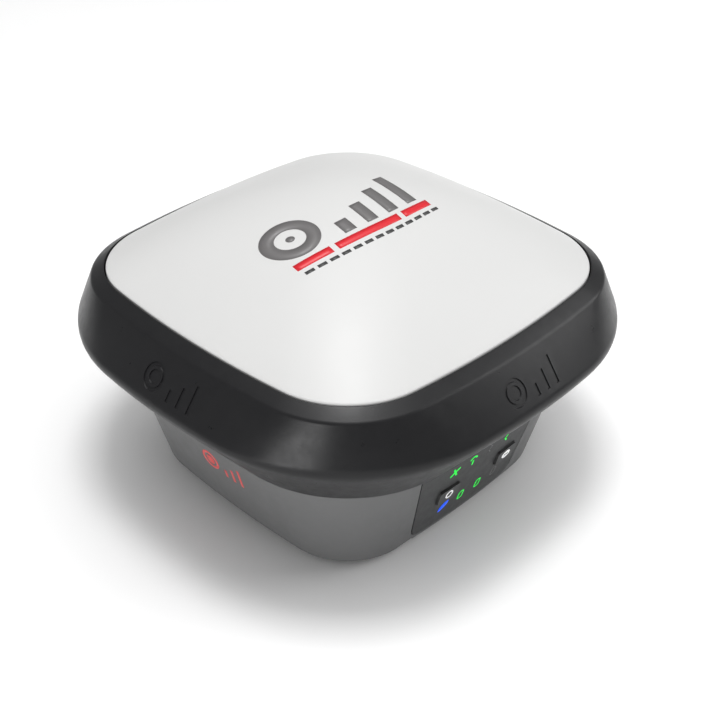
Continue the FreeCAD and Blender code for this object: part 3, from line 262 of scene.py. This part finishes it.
def refined(node, edge=0.0):
    """A copy of a frame node with its loose triangles merged, flat areas made whole and, where an edge
    width is given, its sharp edges rounded. It stands for the node."""
    source = frame["nodes"][node]
    work = bmesh.new()
    work.from_mesh(source.data)
    bmesh.ops.remove_doubles(work, verts=work.verts, dist=2e-6)
    bmesh.ops.dissolve_limit(work, angle_limit=math.radians(0.4), verts=work.verts, edges=work.edges)
    mesh = bpy.data.meshes.new(node + "_look")
    work.to_mesh(mesh)
    work.free()
    piece = bpy.data.objects.new(node + "_look", mesh)
    bpy.context.scene.collection.objects.link(piece)
    if edge:
        bevel = piece.modifiers.new("edges", "BEVEL")
        bevel.width = edge
        bevel.segments = 2
        bevel.limit_method = "ANGLE"
        bevel.angle_limit = math.radians(38)
        bevel.use_clamp_overlap = True
        applied(piece)
    sharpened(piece)
    if node in WALL_NODES:
        wall_shaded(piece)
    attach(piece, node_body(node))
    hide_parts(node)
    return piece


def wall_shaded(piece):
    """Gives faces that follow the housing's wall, inside or out, the wall's own direction at each of
    their corners, so that the flat facets shade as one curve. Level faces keep their own direction."""
    mesh = piece.data
    points = np.empty(len(mesh.vertices) * 3)
    mesh.vertices.foreach_get("co", points)
    corners = np.empty(len(mesh.loops), int)
    mesh.loops.foreach_get("vertex_index", corners)
    normals = np.empty(len(mesh.polygons) * 3)
    mesh.polygons.foreach_get("normal", normals)
    counts = np.empty(len(mesh.polygons), int)
    mesh.polygons.foreach_get("loop_total", counts)
    own = np.repeat(normals.reshape(-1, 3), counts, axis=0)
    wall = wall_normal(points.reshape(-1, 3)[corners][:, :2])
    along = np.sum(own * wall, axis=1, keepdims=True)
    level = np.where(np.abs(own[:, 2:]) > 0.999, own, 0)
    chosen = np.where(np.abs(along) > 0.985, wall * np.sign(along), level)
    mesh.normals_split_custom_set(chosen.tolist())
    return piece


def node_body(node):
    """The body that the record gives a node, or root."""
    for body, members in frame["record"]["behaviour"]["bodies"].items():
        if node in members:
            return body
    return "root"


# ---------------------------------------------------------------- finishes
def tree_of(material):
    """A material's shader nodes and the wires between them."""
    return material.node_tree.nodes, material.node_tree.links


def noise(material, size, detail=4.0, roughness=0.55):
    """A noise over object coordinates whose lumps are about one size across."""
    nodes, wires = tree_of(material)
    place = nodes.new("ShaderNodeTexCoord")
    texture = nodes.new("ShaderNodeTexNoise")
    texture.inputs["Scale"].default_value = 1 / size
    texture.inputs["Detail"].default_value = detail
    texture.inputs["Roughness"].default_value = roughness
    wires.new(place.outputs["Object"], texture.inputs["Vector"])
    return texture.outputs["Fac"]


def spread(material, source, low, high):
    """A value between two limits, following a noise."""
    nodes, wires = tree_of(material)
    span = nodes.new("ShaderNodeMapRange")
    span.inputs["From Min"].default_value = 0.3
    span.inputs["From Max"].default_value = 0.7
    span.inputs["To Min"].default_value = low
    span.inputs["To Max"].default_value = high
    wires.new(source, span.inputs["Value"])
    return span.outputs["Result"]


def tinted(material, source, colour, change):
    """A colour that a noise makes a little darker and lighter."""
    nodes, wires = tree_of(material)
    mix = nodes.new("ShaderNodeMix")
    mix.data_type = "RGBA"
    mix.inputs["A"].default_value = [part * (1 - change) for part in colour] + [1]
    mix.inputs["B"].default_value = [min(part * (1 + change), 1) for part in colour] + [1]
    wires.new(source, mix.inputs["Factor"])
    return mix.outputs["Result"]


def bumped(material, shader, source, depth, strength=1.0):
    """Adds a height to the shader's normal, on top of any already there."""
    nodes, wires = tree_of(material)
    bump = nodes.new("ShaderNodeBump")
    bump.inputs["Distance"].default_value = depth
    bump.inputs["Strength"].default_value = strength
    wires.new(source, bump.inputs["Height"])
    normal = shader.inputs["Normal"]
    if normal.is_linked:
        wires.new(normal.links[0].from_socket, bump.inputs["Normal"])
    wires.new(bump.outputs["Normal"], normal)


def finish(name, colour, roughness, metallic=0.0, change=0.06, patch=9 * MM, grain=0.35 * MM,
           depth=0.02 * MM, spread_by=0.06, specular=0.5):
    """A finish with patchy colour, uneven gloss and a fine raised grain."""
    material = bpy.data.materials.new(name)
    material.use_nodes = True
    shader = material.node_tree.nodes["Principled BSDF"]
    wires = material.node_tree.links
    shader.inputs["Metallic"].default_value = metallic
    shader.inputs["Specular IOR Level"].default_value = specular
    wires.new(tinted(material, noise(material, patch), colour, change), shader.inputs["Base Color"])
    uneven = noise(material, patch / 3, 6.0, 0.7)
    gloss = spread(material, uneven, roughness - spread_by, roughness + spread_by)
    wires.new(gloss, shader.inputs["Roughness"])
    bumped(material, shader, noise(material, grain, 2.0), depth)
    return material


def turned_metal(name, colour, roughness, pitch=0.25 * MM):
    """A lathe-turned metal: fine rings about the upright axis over the ordinary finish."""
    material = finish(name, colour, roughness, metallic=1.0, change=0.05, depth=0.004 * MM)
    nodes, wires = tree_of(material)
    place = nodes.new("ShaderNodeTexCoord")
    wave = nodes.new("ShaderNodeTexWave")
    wave.wave_type = "RINGS"
    wave.rings_direction = "Z"
    wave.inputs["Scale"].default_value = 0.314 / pitch
    wave.inputs["Distortion"].default_value = 0.4
    wires.new(place.outputs["Object"], wave.inputs["Vector"])
    bumped(material, nodes["Principled BSDF"], wave.outputs["Fac"], 0.006 * MM)
    return material


def glowing(name, colour, strength):
    """A glowing symbol whose colour shines a little unevenly: lamp light on the lamps, a painted glow on
    the key signs.
    """
    material = finish(name, colour, 0.35, change=0.1, patch=1.5 * MM, depth=0.004 * MM)
    nodes, wires = tree_of(material)
    shader = nodes["Principled BSDF"]
    wires.new(tinted(material, noise(material, 1.2 * MM), colour, 0.15), shader.inputs["Emission Color"])
    shader.inputs["Emission Strength"].default_value = strength
    return material


def clear_plastic(name, colour):
    """A glossy plastic that lets most of the light through."""
    material = finish(name, colour, 0.12, change=0.04, depth=0.003 * MM)
    shader = material.node_tree.nodes["Principled BSDF"]
    shader.inputs["Transmission Weight"].default_value = 0.7
    return material


FINISHES = {
    "white_plastic": finish("radome_white", (0.6, 0.6, 0.595), 0.36, change=0.012, patch=40 * MM,
                            grain=0.5 * MM, depth=0.006 * MM, spread_by=0.04, specular=0.2),
    "bumper_rubber": finish("bumper_black", (0.012, 0.012, 0.013), 0.33, change=0.12, patch=14 * MM,
                            grain=0.32 * MM, depth=0.01 * MM, specular=0.27),
    "housing_plastic": finish("housing_grey", (0.135, 0.136, 0.137), 0.5, change=0.05, patch=25 * MM,
                              grain=0.3 * MM, depth=0.016 * MM),
    "panel_plastic": finish("panel_grey", (0.038, 0.039, 0.04), 0.46, change=0.05, grain=0.16 * MM,
                            depth=0.006 * MM),
    "key_rubber": finish("key_grey", (0.062, 0.063, 0.064), 0.5, change=0.07, grain=0.2 * MM,
                         depth=0.008 * MM),
    "seal_rubber": finish("seal_black", (0.018, 0.018, 0.018), 0.62, change=0.2, patch=4 * MM,
                          depth=0.015 * MM),
    "steel": turned_metal("turned_steel", (0.56, 0.56, 0.57), 0.28),
    "aluminium": finish("cast_aluminium", (0.68, 0.69, 0.7), 0.4, metallic=1.0, change=0.05),
    "brass": turned_metal("turned_brass", (0.76, 0.56, 0.26), 0.27),
    "circuit_board": finish("board_green", (0.02, 0.14, 0.06), 0.32, change=0.2, patch=2 * MM,
                            grain=0.6 * MM),
    "screening_can": finish("tinned_steel", (0.66, 0.66, 0.65), 0.3, metallic=1.0, change=0.08,
                            patch=6 * MM),
    "black_plastic": finish("moulded_black", (0.024, 0.024, 0.026), 0.45, change=0.1, grain=0.25 * MM,
                            depth=0.012 * MM),
    "battery_plastic": finish("battery_black", (0.045, 0.046, 0.05), 0.38, change=0.08, patch=12 * MM),
    "patch_ceramic": finish("patch_ceramic", (0.72, 0.69, 0.61), 0.55, change=0.06, patch=5 * MM),
    "light_pipe": clear_plastic("light_pipe", (0.8, 0.9, 0.84)),
    "cable": finish("cable_sheath", (0.03, 0.03, 0.032), 0.4, change=0.12, patch=3 * MM),
    "blank_label": finish("blank_label", (0.62, 0.62, 0.63), 0.38, metallic=0.85, change=0.04,
                          depth=0.004 * MM),
}
PRINT_GREY = finish("print_grey", (0.135, 0.13, 0.13), 0.42, change=0.06, patch=6 * MM, depth=0.003 * MM)
PRINT_RED = finish("print_red", (0.62, 0.012, 0.022), 0.4, change=0.06, patch=6 * MM, depth=0.003 * MM)
PRINT_DARK = finish("print_dark", (0.045, 0.045, 0.045), 0.42, change=0.08, patch=4 * MM, depth=0.003 * MM)
PRINT_CORAL = finish("print_coral", (0.72, 0.1, 0.1), 0.45, change=0.06, patch=5 * MM, depth=0.003 * MM)
PRINT_FAINT = finish("print_faint", (0.17, 0.17, 0.17), 0.45, change=0.08, patch=2 * MM, depth=0.003 * MM)
# black for the dash printed on the function key, and painted shade on the sides of the keys
PRINT_AND_PAINTED_SHADE_BLACK = finish("print_and_painted_shade_black", (0.012, 0.012, 0.012), 0.55, change=0.15, patch=2 * MM, depth=0.004 * MM)
GLOW_GREEN = glowing("glow_green", (0.0, 0.5, 0.03), 1.35)
GLOW_BLUE = glowing("glow_blue", (0.0, 0.07, 0.75), 0.8)
# the signs on the keys: white print with a faint emission, a painted glow that brightens them
WHITE_PRINT_PAINTED_GLOW = glowing("white_print_painted_glow", (0.8, 0.8, 0.8), 0.5)
slot_of = {entry["node"]: entry["material_slot"] for entry in frame["record"]["subparts"]}


def dressed(piece, material):
    """The piece with one material all over."""
    piece.data.materials.clear()
    piece.data.materials.append(material)
    return piece


def dress_frame():
    """Every frame node takes the finish of its own slot."""
    for node, item in frame["nodes"].items():
        dressed(item, FINISHES[slot_of[node]])


# ---------------------------------------------------------------- radome and bumper
def dome_height(scale):
    """The dome falls from the middle as a power of the distance out to the seam."""
    return SEAM_LEVEL + (TOP_LEVEL - SEAM_LEVEL) * (1 - np.power(scale, DOME_POWER))


def dome_ring(sizes, scale, drop=0.0):
    """A level curve of the dome: the seam's curve scaled down, and the rounder the smaller it is."""
    half = sizes[0]
    return ring(half + scale * (np.asarray(sizes) - half), dome_height(scale) - drop, scale)


def build_dome():
    """The radome: the dome's level curves at their heights, an eased edge at the seam, the skirt, and
    the inner skin one wall inside."""
    scales = 1 - np.linspace(0.99, 0, 60) ** 1.25
    scales = scales[scales < 0.985]
    outer = [dome_ring(SEAM, scale) for scale in scales]
    edge = ring(SEAM, SEAM_LEVEL)
    foot = ring(SEAM, SKIRT_LEVEL)
    turned = eased(np.array([outer[-1], edge, foot]), [0, EDGE_SETBACK, 0])[1:-1]
    inside = grown(SEAM, -WALL)
    inner_foot = ring(inside, SKIRT_LEVEL)
    inner_edge = ring(inside, SEAM_LEVEL - WALL / 2)
    inner = [dome_ring(inside, scale, WALL) for scale in scales[::-2]]
    rows = np.array(outer + list(turned) + [foot, inner_foot, inner_edge] + inner)
    piece = sharpened(capped_piece("radome_shell", rows))
    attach(piece, "root")
    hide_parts("radome")
    return dressed(piece, FINISHES["white_plastic"])


def flank_sizes(z):
    """The bumper's upper flank between its crest and its top crease."""
    t = (z - CREST_LEVEL) / (CREASE_LEVEL - CREST_LEVEL)
    crest = grown(CREST, ROUNDING_LOSS)
    return crest + (grown(SEAM, CREASE_STEP) - crest) * t


def build_bumper():
    """The bumper: a closed section carried round the housing. Outside run the top band, a tight crease,
    the upper flank, a broad crest, the lower flank and the lip; inside it is hollow above its hook. The
    crest's corner stands out by what its rounding takes back."""
    crease = grown(SEAM, CREASE_STEP)
    lip = grown(housing_sizes(LIP_LEVEL), LIP_PROUD)
    t = (HOOK_LEVEL - LIP_LEVEL) / (CREST_LEVEL - LIP_LEVEL)
    lip_inside = grown(lip, -BUMPER_WALL)
    crest_inside = grown(CREST, -BUMPER_WALL)
    corners = [ring(grown(SEAM, SEAM_GAP), MOUTH_LEVEL), ring(grown(SEAM, SEAM_GAP), SEAM_LEVEL),
               ring(crease, CREASE_LEVEL), ring(flank_sizes(CREST_LEVEL), CREST_LEVEL),
               ring(lip, LIP_LEVEL),
               ring(grown(housing_sizes(LIP_LEVEL), HOOK_GAP), LIP_LEVEL),
               ring(grown(housing_sizes(HOOK_LEVEL), HOOK_GAP), HOOK_LEVEL),
               ring(lip_inside + (crest_inside - lip_inside) * t, HOOK_LEVEL),
               ring(crest_inside, CREST_LEVEL), ring(grown(crease, -BUMPER_WALL), MOUTH_LEVEL)]
    setbacks = [0, 0.5 * MM, 0.8 * MM, 3.4 * MM, 0.9 * MM, 0.4 * MM, 0, 0, 0, 0]
    piece = tube_piece("bumper_skin", eased(corners, setbacks, steps=9))
    marks = [sunk_mark(turn) for turn in (2, 3)]
    piece = carved(piece, joined("bumper_marks", marks))
    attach(piece, "root")
    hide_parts("bumper_ring")
    return dressed(piece, FINISHES["bumper_rubber"])


# ---------------------------------------------------------------- marks: strips laid on a surface
def face_point(turn, sizes_at, across, up, lift):
    """A point on the wall that faces a quarter turn: its side arc lies back by its sagitta, and both its
    sizes change evenly with the height. Across runs to the right of someone who faces the wall, up is
    the height and lift stands off the wall."""
    start, rise = sizes_at(0), sizes_at(1) - sizes_at(0)
    half = start[0] + rise[0] * up
    side = start[1] + rise[1] * up
    out = half - (side - np.sqrt(side ** 2 - across ** 2)) + lift
    angle = turn * QUARTER
    x = math.cos(angle) * out - math.sin(angle) * across
    y = math.sin(angle) * out + math.cos(angle) * across
    return np.stack([x, y, up + 0 * out], -1)


def dome_point(across, up, lift):
    """A point on the dome, from its place in plan: on the bearing of the place, each level curve's reach
    is known, and the place's own distance lies between two of them."""
    scales = np.linspace(0.001, 1, 60)
    reaches = []
    for scale in scales:
        outline = dome_ring(SEAM, scale)
        bearing = np.arctan2(outline[:, 1], outline[:, 0])
        reaches.append(np.interp(np.arctan2(up, across), bearing, np.hypot(outline[:, 0], outline[:, 1]),
                                 period=2 * math.pi))
    reaches = np.array(reaches)
    distance = np.hypot(across, up)
    place = np.arange(len(distance))
    below = np.clip(np.sum(reaches < distance, axis=0) - 1, 0, len(scales) - 2)
    near, far = reaches[below, place], reaches[below + 1, place]
    level = scales[below] + (scales[1] - scales[0]) * (distance - near) / (far - near)
    return np.stack([across, up, dome_height(level) + lift], -1)


def strip(name, path, width, surface, low=-PRINT_DEPTH, high=PRINT_LIFT, closed=False):
    """A flat band of one width along a path in plan, laid on a surface as a thin closed slab."""
    path = np.asarray(path, float)
    ahead = np.roll(path, -1, 0) - np.roll(path, 1, 0)
    if not closed:
        ahead[0] = path[1] - path[0]
        ahead[-1] = path[-1] - path[-2]
    ahead = unit(ahead)
    side = np.stack([-ahead[:, 1], ahead[:, 0]], 1) * width / 2
    left, right = path + side, path - side
    section = [(left, low), (left, high), (path, high), (right, high), (right, low), (path, low)]
    rows = np.array([surface(plan[:, 0], plan[:, 1], lift) for plan, lift in section])
    rows = rows.transpose(1, 0, 2)
    if closed:
        return tube_piece(name, rows)
    return capped_piece(name, rows)


def line(start, end, step=1.5 * MM):
    """Points along a straight line."""
    start, end = np.asarray(start, float), np.asarray(end, float)
    count = max(2, int(np.linalg.norm(end - start) / step) + 1)
    return start + (end - start) * np.linspace(0, 1, count)[:, None]


def circle(centre, radius, start=0.0, sweep=2 * math.pi, steps=48):
    """Points along an arc, or round a whole circle with its end left out."""
    whole = abs(sweep - 2 * math.pi) < 1e-9
    angle = np.linspace(start, start + sweep, steps, endpoint=not whole)
    return np.stack([centre[0] + radius * np.cos(angle), centre[1] + radius * np.sin(angle)], 1)


def patch(name, outline, surface, low=-PRINT_DEPTH, high=PRINT_LIFT):
    """A filled outline laid on a surface as a thin closed slab."""
    outline = np.asarray(outline, float)
    rows = [surface(outline[:, 0], outline[:, 1], lift) for lift in (low, high)]
    return capped_piece(name, np.array(rows))


def signal_mark(name, surface, width, tall, stroke, bars=3, **slab):
    """A plain sign: a target ring as tall as the sign, with a dot, and bars that grow to that height."""
    middle = (tall - width) / 2
    pieces = [strip(name, circle((middle, 0), (tall - stroke) / 2), stroke, surface, closed=True, **slab),
              patch(name, circle((middle, 0), tall / 2 - 1.75 * stroke), surface, **slab)]
    pitch = (width - tall) / bars
    for number in range(bars):
        x = width / 2 - stroke / 2 - pitch * (bars - 1 - number)
        top = tall * ((number + 1.5) / (bars + 0.5) - 0.5)
        pieces.append(strip(name, line((x, -tall / 2), (x, top)), stroke, surface, **slab))
    return joined(name, pieces)


def sunk_mark(turn):
    """A cutter for the sign pressed into the bumper's upper flank."""
    middle = (CREST_LEVEL + CREASE_LEVEL) / 2
    shift = (2.5 if turn == 2 else -0.5) * MM

    def surface(across, up, lift):
        return face_point(turn, flank_sizes, across + shift, middle + up * 0.82, lift)
    return signal_mark("bumper_mark", surface, width=24 * MM, tall=9.5 * MM, stroke=1.35 * MM,
                       low=-0.45 * MM, high=1.5 * MM)


def printed(piece, material):
    """A mark that stays with the housing, in its own colour."""
    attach(piece, "root")
    return dressed(piece, material)


def build_dome_print():
    """The printing on the dome: a grey sign, a broken red bar and a fine dashed line. They bow a
    little towards the keypad, as a flat label does when it is laid over a dome."""
    turn = math.radians(-7)
    centre = np.array([-11.5 * MM, -4.5 * MM])
    bow = 3.2 * MM
    reach = 28 * MM

    def surface(across, up, lift):
        up = up - bow * (1 - (across / reach) ** 2)
        x = centre[0] + across * math.cos(turn) - up * math.sin(turn)
        y = centre[1] + across * math.sin(turn) + up * math.cos(turn)
        return dome_point(x, y, lift)
    sign = signal_mark("dome_sign", surface, width=56 * MM, tall=19 * MM, stroke=4.6 * MM, bars=4)
    printed(sign, PRINT_GREY)

    def level_line(start, length, up, width):
        return strip("line", line((start, up), (start + length, up)), width, surface)
    bar_up, bar_width = -12.7 * MM, 3.1 * MM
    bars = [level_line(start * MM, length * MM, bar_up, bar_width)
            for start, length in ((-25, 13), (-10, 26), (18, 13))]
    printed(joined("dome_red_bars", bars), PRINT_RED)
    dash_up, dash_width, dash_length, dash_pitch = -16.6 * MM, 1.3 * MM, 3.1 * MM, 4.4 * MM
    dashes = [level_line(start, dash_length, dash_up, dash_width)
              for start in np.arange(-24 * MM, 31 * MM, dash_pitch)]
    printed(joined("dome_dashes", dashes), PRINT_DARK)


def build_wall_print():
    """The small red sign on the -X wall."""
    def surface(across, up, lift):
        return face_point(2, housing_sizes, across + 1.4 * MM, 26 * MM + up, lift)
    sign = signal_mark("wall_sign", surface, width=20 * MM, tall=8.4 * MM, stroke=1.2 * MM)
    printed(sign, PRINT_CORAL)


# ---------------------------------------------------------------- keypad
KEY_ROW = 20.1 * MM
LAMP_TOP = 30.6 * MM
LAMP_LOW = 12.7 * MM
LAMPS = [(1.2 + 9 * step) * MM for step in (-1.5, -0.5, 0.5, 1.5)]


def front(across, up, lift):
    """A point on the keypad wall."""
    return face_point(3, housing_sizes, across, up, lift)


def symbol(name, centre, strokes, width, material):
    """A small symbol of several strokes, each a list of points in millimetres about its centre."""
    pieces = []
    for stroke in strokes:
        path = np.asarray(stroke, float) * MM + np.asarray(centre)
        closed = len(stroke) > 2 and np.allclose(stroke[0], stroke[-1])
        path = path[:-1] if closed else path
        pieces.append(strip(name, path, width, front, low=PRINT_LIFT - PRINT_DEPTH, closed=closed))
    printed(joined(name, pieces), material)


def build_symbols():
    """Lit and unlit symbols: a cross, a mast, two zigzags, a fan and three cells."""
    cross = [[(-2.1, -1.3), (0, 0.2), (2.1, 1.3)], [(-1.1, 2.0), (0, 0), (1.1, -2.0)]]
    mast = [[(0, -2.2), (0, 0.2)], (circle((0, 0.1), 1.8, 0.35, 2.4, 12)).tolist()]
    zigzag = [[(-0.7, 2.4), (0.7, 1.2), (-0.7, -0.4), (0.7, -1.8)]]
    turn = np.linspace(0, 2 * math.pi, 41)
    square_off = np.stack([np.cos(turn), np.sin(turn)], 1)
    square_off = np.sign(square_off) * np.abs(square_off) ** 0.45
    cell = [(square_off * [1.15, 1.75] + square_off[:, 1:] * [0.2, 0]).tolist()]
    fan = [(-2.2, -1.8), (-0.9, -1.8), (0.7, -1.0), (2.2, 0.5),
           (2.4, 1.9), (0.8, 2.1), (-0.8, 1.2), (-1.9, -0.2)]
    symbol("lamp_cross", (LAMPS[0], LAMP_TOP), cross, 0.8 * MM, GLOW_GREEN)
    symbol("lamp_mast", (LAMPS[1], LAMP_TOP), mast, 0.7 * MM, GLOW_GREEN)
    symbol("lamp_zigzag_off", (LAMPS[2], LAMP_TOP), zigzag, 0.4 * MM, PRINT_FAINT)
    symbol("lamp_zigzag", (LAMPS[3], LAMP_TOP), zigzag, 0.7 * MM, GLOW_GREEN)
    outline = np.array(fan) * MM + [LAMPS[0], LAMP_LOW]
    printed(patch("lamp_fan", outline, front), GLOW_BLUE)
    symbol("lamp_cell_first", (LAMPS[1], LAMP_LOW), cell, 0.5 * MM, GLOW_GREEN)
    symbol("lamp_cell_second", (LAMPS[2], LAMP_LOW), cell, 0.5 * MM, GLOW_GREEN)
    symbol("lamp_cell_off", (LAMPS[3], LAMP_LOW), cell, 0.35 * MM, PRINT_FAINT)


def shade_painted_sides(piece):
    """Paints the faces of a key that turn away from the keypad wall black, as painted shade on its sides.
    """
    mesh = piece.data
    mesh.materials.append(PRINT_AND_PAINTED_SHADE_BLACK)
    normals = np.empty(len(mesh.polygons) * 3)
    mesh.polygons.foreach_get("normal", normals)
    ahead = normals.reshape(-1, 3) @ wall_normal(np.array([[0, -1.0]]))[0]
    mesh.polygons.foreach_set("material_index", (ahead < 0.9).astype(int))
    mesh.update()


def build_keys():
    """The two keys with their white signs: a ring, and a filled oval with a dash."""
    for node in ("power_key", "function_key"):
        piece = refined(node)
        dressed(piece, FINISHES["key_rubber"])
        # the key's sides are painted black as shade
        shade_painted_sides(piece)
    low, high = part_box("power_key")
    power = ((low[0] + high[0]) / 2, KEY_ROW)
    low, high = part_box("function_key")
    function = ((low[0] + high[0]) / 2, KEY_ROW)
    face = 0.9 * MM
    ring_radius, ring_stroke = 1.5 * MM, 0.6 * MM
    oval_reach = [2.3 * MM, 1.7 * MM]
    dash_reach, dash_stroke = 1.1 * MM, 0.5 * MM

    def ridden(piece, material, body):
        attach(piece, body)
        dressed(piece, material)
    sunk = {"low": face - PRINT_DEPTH, "high": face + PRINT_LIFT}
    # the white signs are print with a painted glow
    white_ring = strip("power_ring", circle(power, ring_radius), ring_stroke, front, closed=True, **sunk)
    ridden(white_ring, WHITE_PRINT_PAINTED_GLOW, "power_key")
    oval = circle((0, 0), 1.0) * oval_reach + function
    ridden(patch("function_oval", oval, front, **sunk), WHITE_PRINT_PAINTED_GLOW, "function_key")
    dash = line((function[0] - dash_reach, function[1]), (function[0] + dash_reach, function[1]))
    sunk["high"] = face + 2 * PRINT_LIFT
    ridden(strip("function_dash", dash, dash_stroke, front, **sunk), PRINT_AND_PAINTED_SHADE_BLACK, "function_key")


# ---------------------------------------------------------------- underside
def build_insert():
    """The threaded insert: outside it follows the frame's steps; inside, the bore's radius follows a
    helix, a rounded V groove one pitch high that climbs once round for every turn."""
    low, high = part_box("mount_insert")
    around = 96
    angle = np.linspace(0, 2 * math.pi, around, endpoint=False)
    turns_per_inch = 11
    pitch = 25.4 / turns_per_inch * MM
    minor, depth = 6.8 * MM, 1.15 * MM
    mouth, end = low[2], low[2] + 18 * MM
    chamfer = 1.2 * MM
    core, body, flange = 0.6 * MM, 10 * MM, high[0]
    flange_low, flange_high = 7 * MM, 9.5 * MM

    def lathe(radius, z):
        radius = radius + 0 * angle
        return np.stack([radius * np.cos(angle), radius * np.sin(angle), z + 0 * angle], 1)
    outer = [(core, high[2]), (body, high[2]), (body, flange_high), (flange, flange_high),
             (flange, flange_low), (body, flange_low), (body, mouth)]
    rows = [lathe(radius, z) for radius, z in outer]
    levels = np.linspace(mouth, end, 220)
    for z in levels:
        phase = (z / pitch - angle / (2 * math.pi)) % 1
        groove = np.clip(1.15 * (1 - np.abs(2 * phase - 1) * 1.15), 0, 1)
        fade = min(1, (end - z) / pitch)
        entry = max(0, 1 - (z - mouth) / chamfer)
        rows.append(lathe(minor + depth * np.maximum(groove * fade, entry), z))
    rows.append(lathe(core, end))
    piece = sharpened(capped_piece("thread_insert", np.array(rows)), 50)
    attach(piece, "root")
    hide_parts("mount_insert")
    dressed(piece, FINISHES["brass"])


def build_caps():
    """The two port caps: turned rubber caps whose sides carry grip ribs, a rounded wave of the angle."""
    for node, body in (("data_port_cap", "data_cap"), ("antenna_port_cap", "antenna_cap")):
        low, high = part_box(node)
        centre = [(low[0] + high[0]) / 2, (low[1] + high[1]) / 2]
        radius = (high[0] - low[0]) / 2
        around, rib_count, rib_depth = 192, 24, 0.35 * MM
        angle = np.linspace(0, 2 * math.pi, around, endpoint=False)
        ribs = rib_depth * (np.clip(1.5 * np.cos(rib_count * angle), -1, 1) - 1) / 2

        def lathe(size, z, rib=0.0):
            size = size + ribs * rib
            x = centre[0] + size * np.cos(angle)
            y = centre[1] + size * np.sin(angle)
            return np.stack([x, y, z + 0 * angle], 1)
        core, wall = 0.5 * MM, 2 * MM
        height = high[2] - low[2]
        outline = [(core, 0, 0), (radius - 2.2 * MM, 0, 0), (radius - 0.9 * MM, 0.1 * MM, 0),
                   (radius - 0.3 * MM, 0.5 * MM, 0), (radius, 1.2 * MM, 0), (radius, 1.5 * MM, 1),
                   (radius, height - 2.0 * MM, 1), (radius, height - 1.7 * MM, 0),
                   (radius, height - 0.3 * MM, 0), (radius - 0.3 * MM, height, 0),
                   (radius - wall, height, 0), (radius - wall, wall, 0), (core, wall, 0)]
        rows = np.array([lathe(size, low[2] + z, rib) for size, z, rib in outline])
        piece = sharpened(capped_piece(node + "_ribbed", rows), 40)
        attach(piece, body)
        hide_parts(node)
        dressed(piece, FINISHES["seal_rubber"])


def build_refined():
    """The frame nodes that show, cleaned up, and their edges rounded by the width given here."""
    edges = {"lower_housing": 0, "keypad_panel": 0, "battery_cover": 0, "cover_latch": 0.15,
             "mount_ring": 0.25, "battery_pack": 0.3, "pressure_vent": 0.2, "label_plate": 0.05,
             "battery_bay": 0, "memory_card": 0.1, "data_port_shell": 0.2, "antenna_port_shell": 0.2,
             "housing_screws": 0.12, "mount_screws": 0.1, "midframe": 0, "main_board": 0}
    for node, edge in edges.items():
        dressed(refined(node, edge * MM), FINISHES[slot_of[node]])


# ---------------------------------------------------------------- floor, light and camera
def build_studio():
    """A wide pale floor just under the foot, a soft light above with a smaller one inside it, a key from
    the right and a fill low on the left. The sky lights a little, and the camera sees it as white."""
    turns = [(-1, -1), (1, -1), (1, 1), (-1, 1)]
    corners = [(x * FLOOR_HALF, y * FLOOR_HALF, FLOOR_LEVEL) for x, y in turns]
    floor = mesh_piece("floor", corners, [(0, 1, 2, 3)])
    pale = finish("floor_pale", (0.93, 0.93, 0.93), 0.7, change=0.004, patch=0.4, grain=2 * MM,
                  depth=0.01 * MM)
    dressed(floor, pale)
    world = bpy.data.worlds.new("studio")
    bpy.context.scene.world = world
    world.use_nodes = True
    nodes, wires = world.node_tree.nodes, world.node_tree.links
    sky = nodes["Background"]
    sky.inputs["Color"].default_value = (1, 1, 1, 1)
    sky.inputs["Strength"].default_value = 0.28
    backdrop = nodes.new("ShaderNodeBackground")
    backdrop.inputs["Color"].default_value = (1, 1, 1, 1)
    backdrop.inputs["Strength"].default_value = 1.0
    seen = nodes.new("ShaderNodeLightPath")
    chosen = nodes.new("ShaderNodeMixShader")
    wires.new(seen.outputs["Is Camera Ray"], chosen.inputs["Fac"])
    wires.new(sky.outputs["Background"], chosen.inputs[1])
    wires.new(backdrop.outputs["Background"], chosen.inputs[2])
    wires.new(chosen.outputs["Shader"], nodes["World Output"].inputs["Surface"])
    area_light("top", (0.06, 0.0, 2.4), 2.5, 36.0)
    area_light("crown", (-0.05, -0.05, 1.2), 0.34, 5.6)
    area_light("right", (1.1, -0.75, 0.75), 0.8, 6.8)
    area_light("low_left", (-1.1, -0.3, 0.14), 0.5, 5.2)


def area_light(name, place, size, power):
    """A square soft light that looks at the middle of the object."""
    data = bpy.data.lights.new(name, "AREA")
    data.energy = power
    data.size = size
    lamp = bpy.data.objects.new(name, data)
    bpy.context.scene.collection.objects.link(lamp)
    lamp.location = place
    lamp.rotation_euler = (Vector((0, 0, 0.05)) - Vector(place)).to_track_quat("-Z", "Y").to_euler()


def build_camera():
    """The camera looks down over the corner between the keypad wall and the -X wall."""
    distance, elevation, azimuth = 458.85 * MM, math.radians(35.04), math.radians(-45)
    target = Vector((0, 0, 39.03 * MM))
    flat = math.cos(elevation)
    away = Vector((math.sin(azimuth) * flat, -math.cos(azimuth) * flat, math.sin(elevation)))
    data = bpy.data.cameras.new("camera")
    data.lens = 62.82
    data.sensor_width = 36
    data.shift_x = 0.0172
    data.clip_start = 0.01
    camera = bpy.data.objects.new("camera", data)
    bpy.context.scene.collection.objects.link(camera)
    camera.location = target + away * distance
    camera.rotation_euler = (-away).to_track_quat("-Z", "Y").to_euler()
    bpy.context.scene.camera = camera
    bpy.context.scene.view_settings.view_transform = "Standard"


build_camera()
build_studio()
dress_frame()
build_dome()
build_bumper()
build_refined()
build_keys()
build_insert()
build_caps()
build_dome_print()
build_wall_print()
build_symbols()
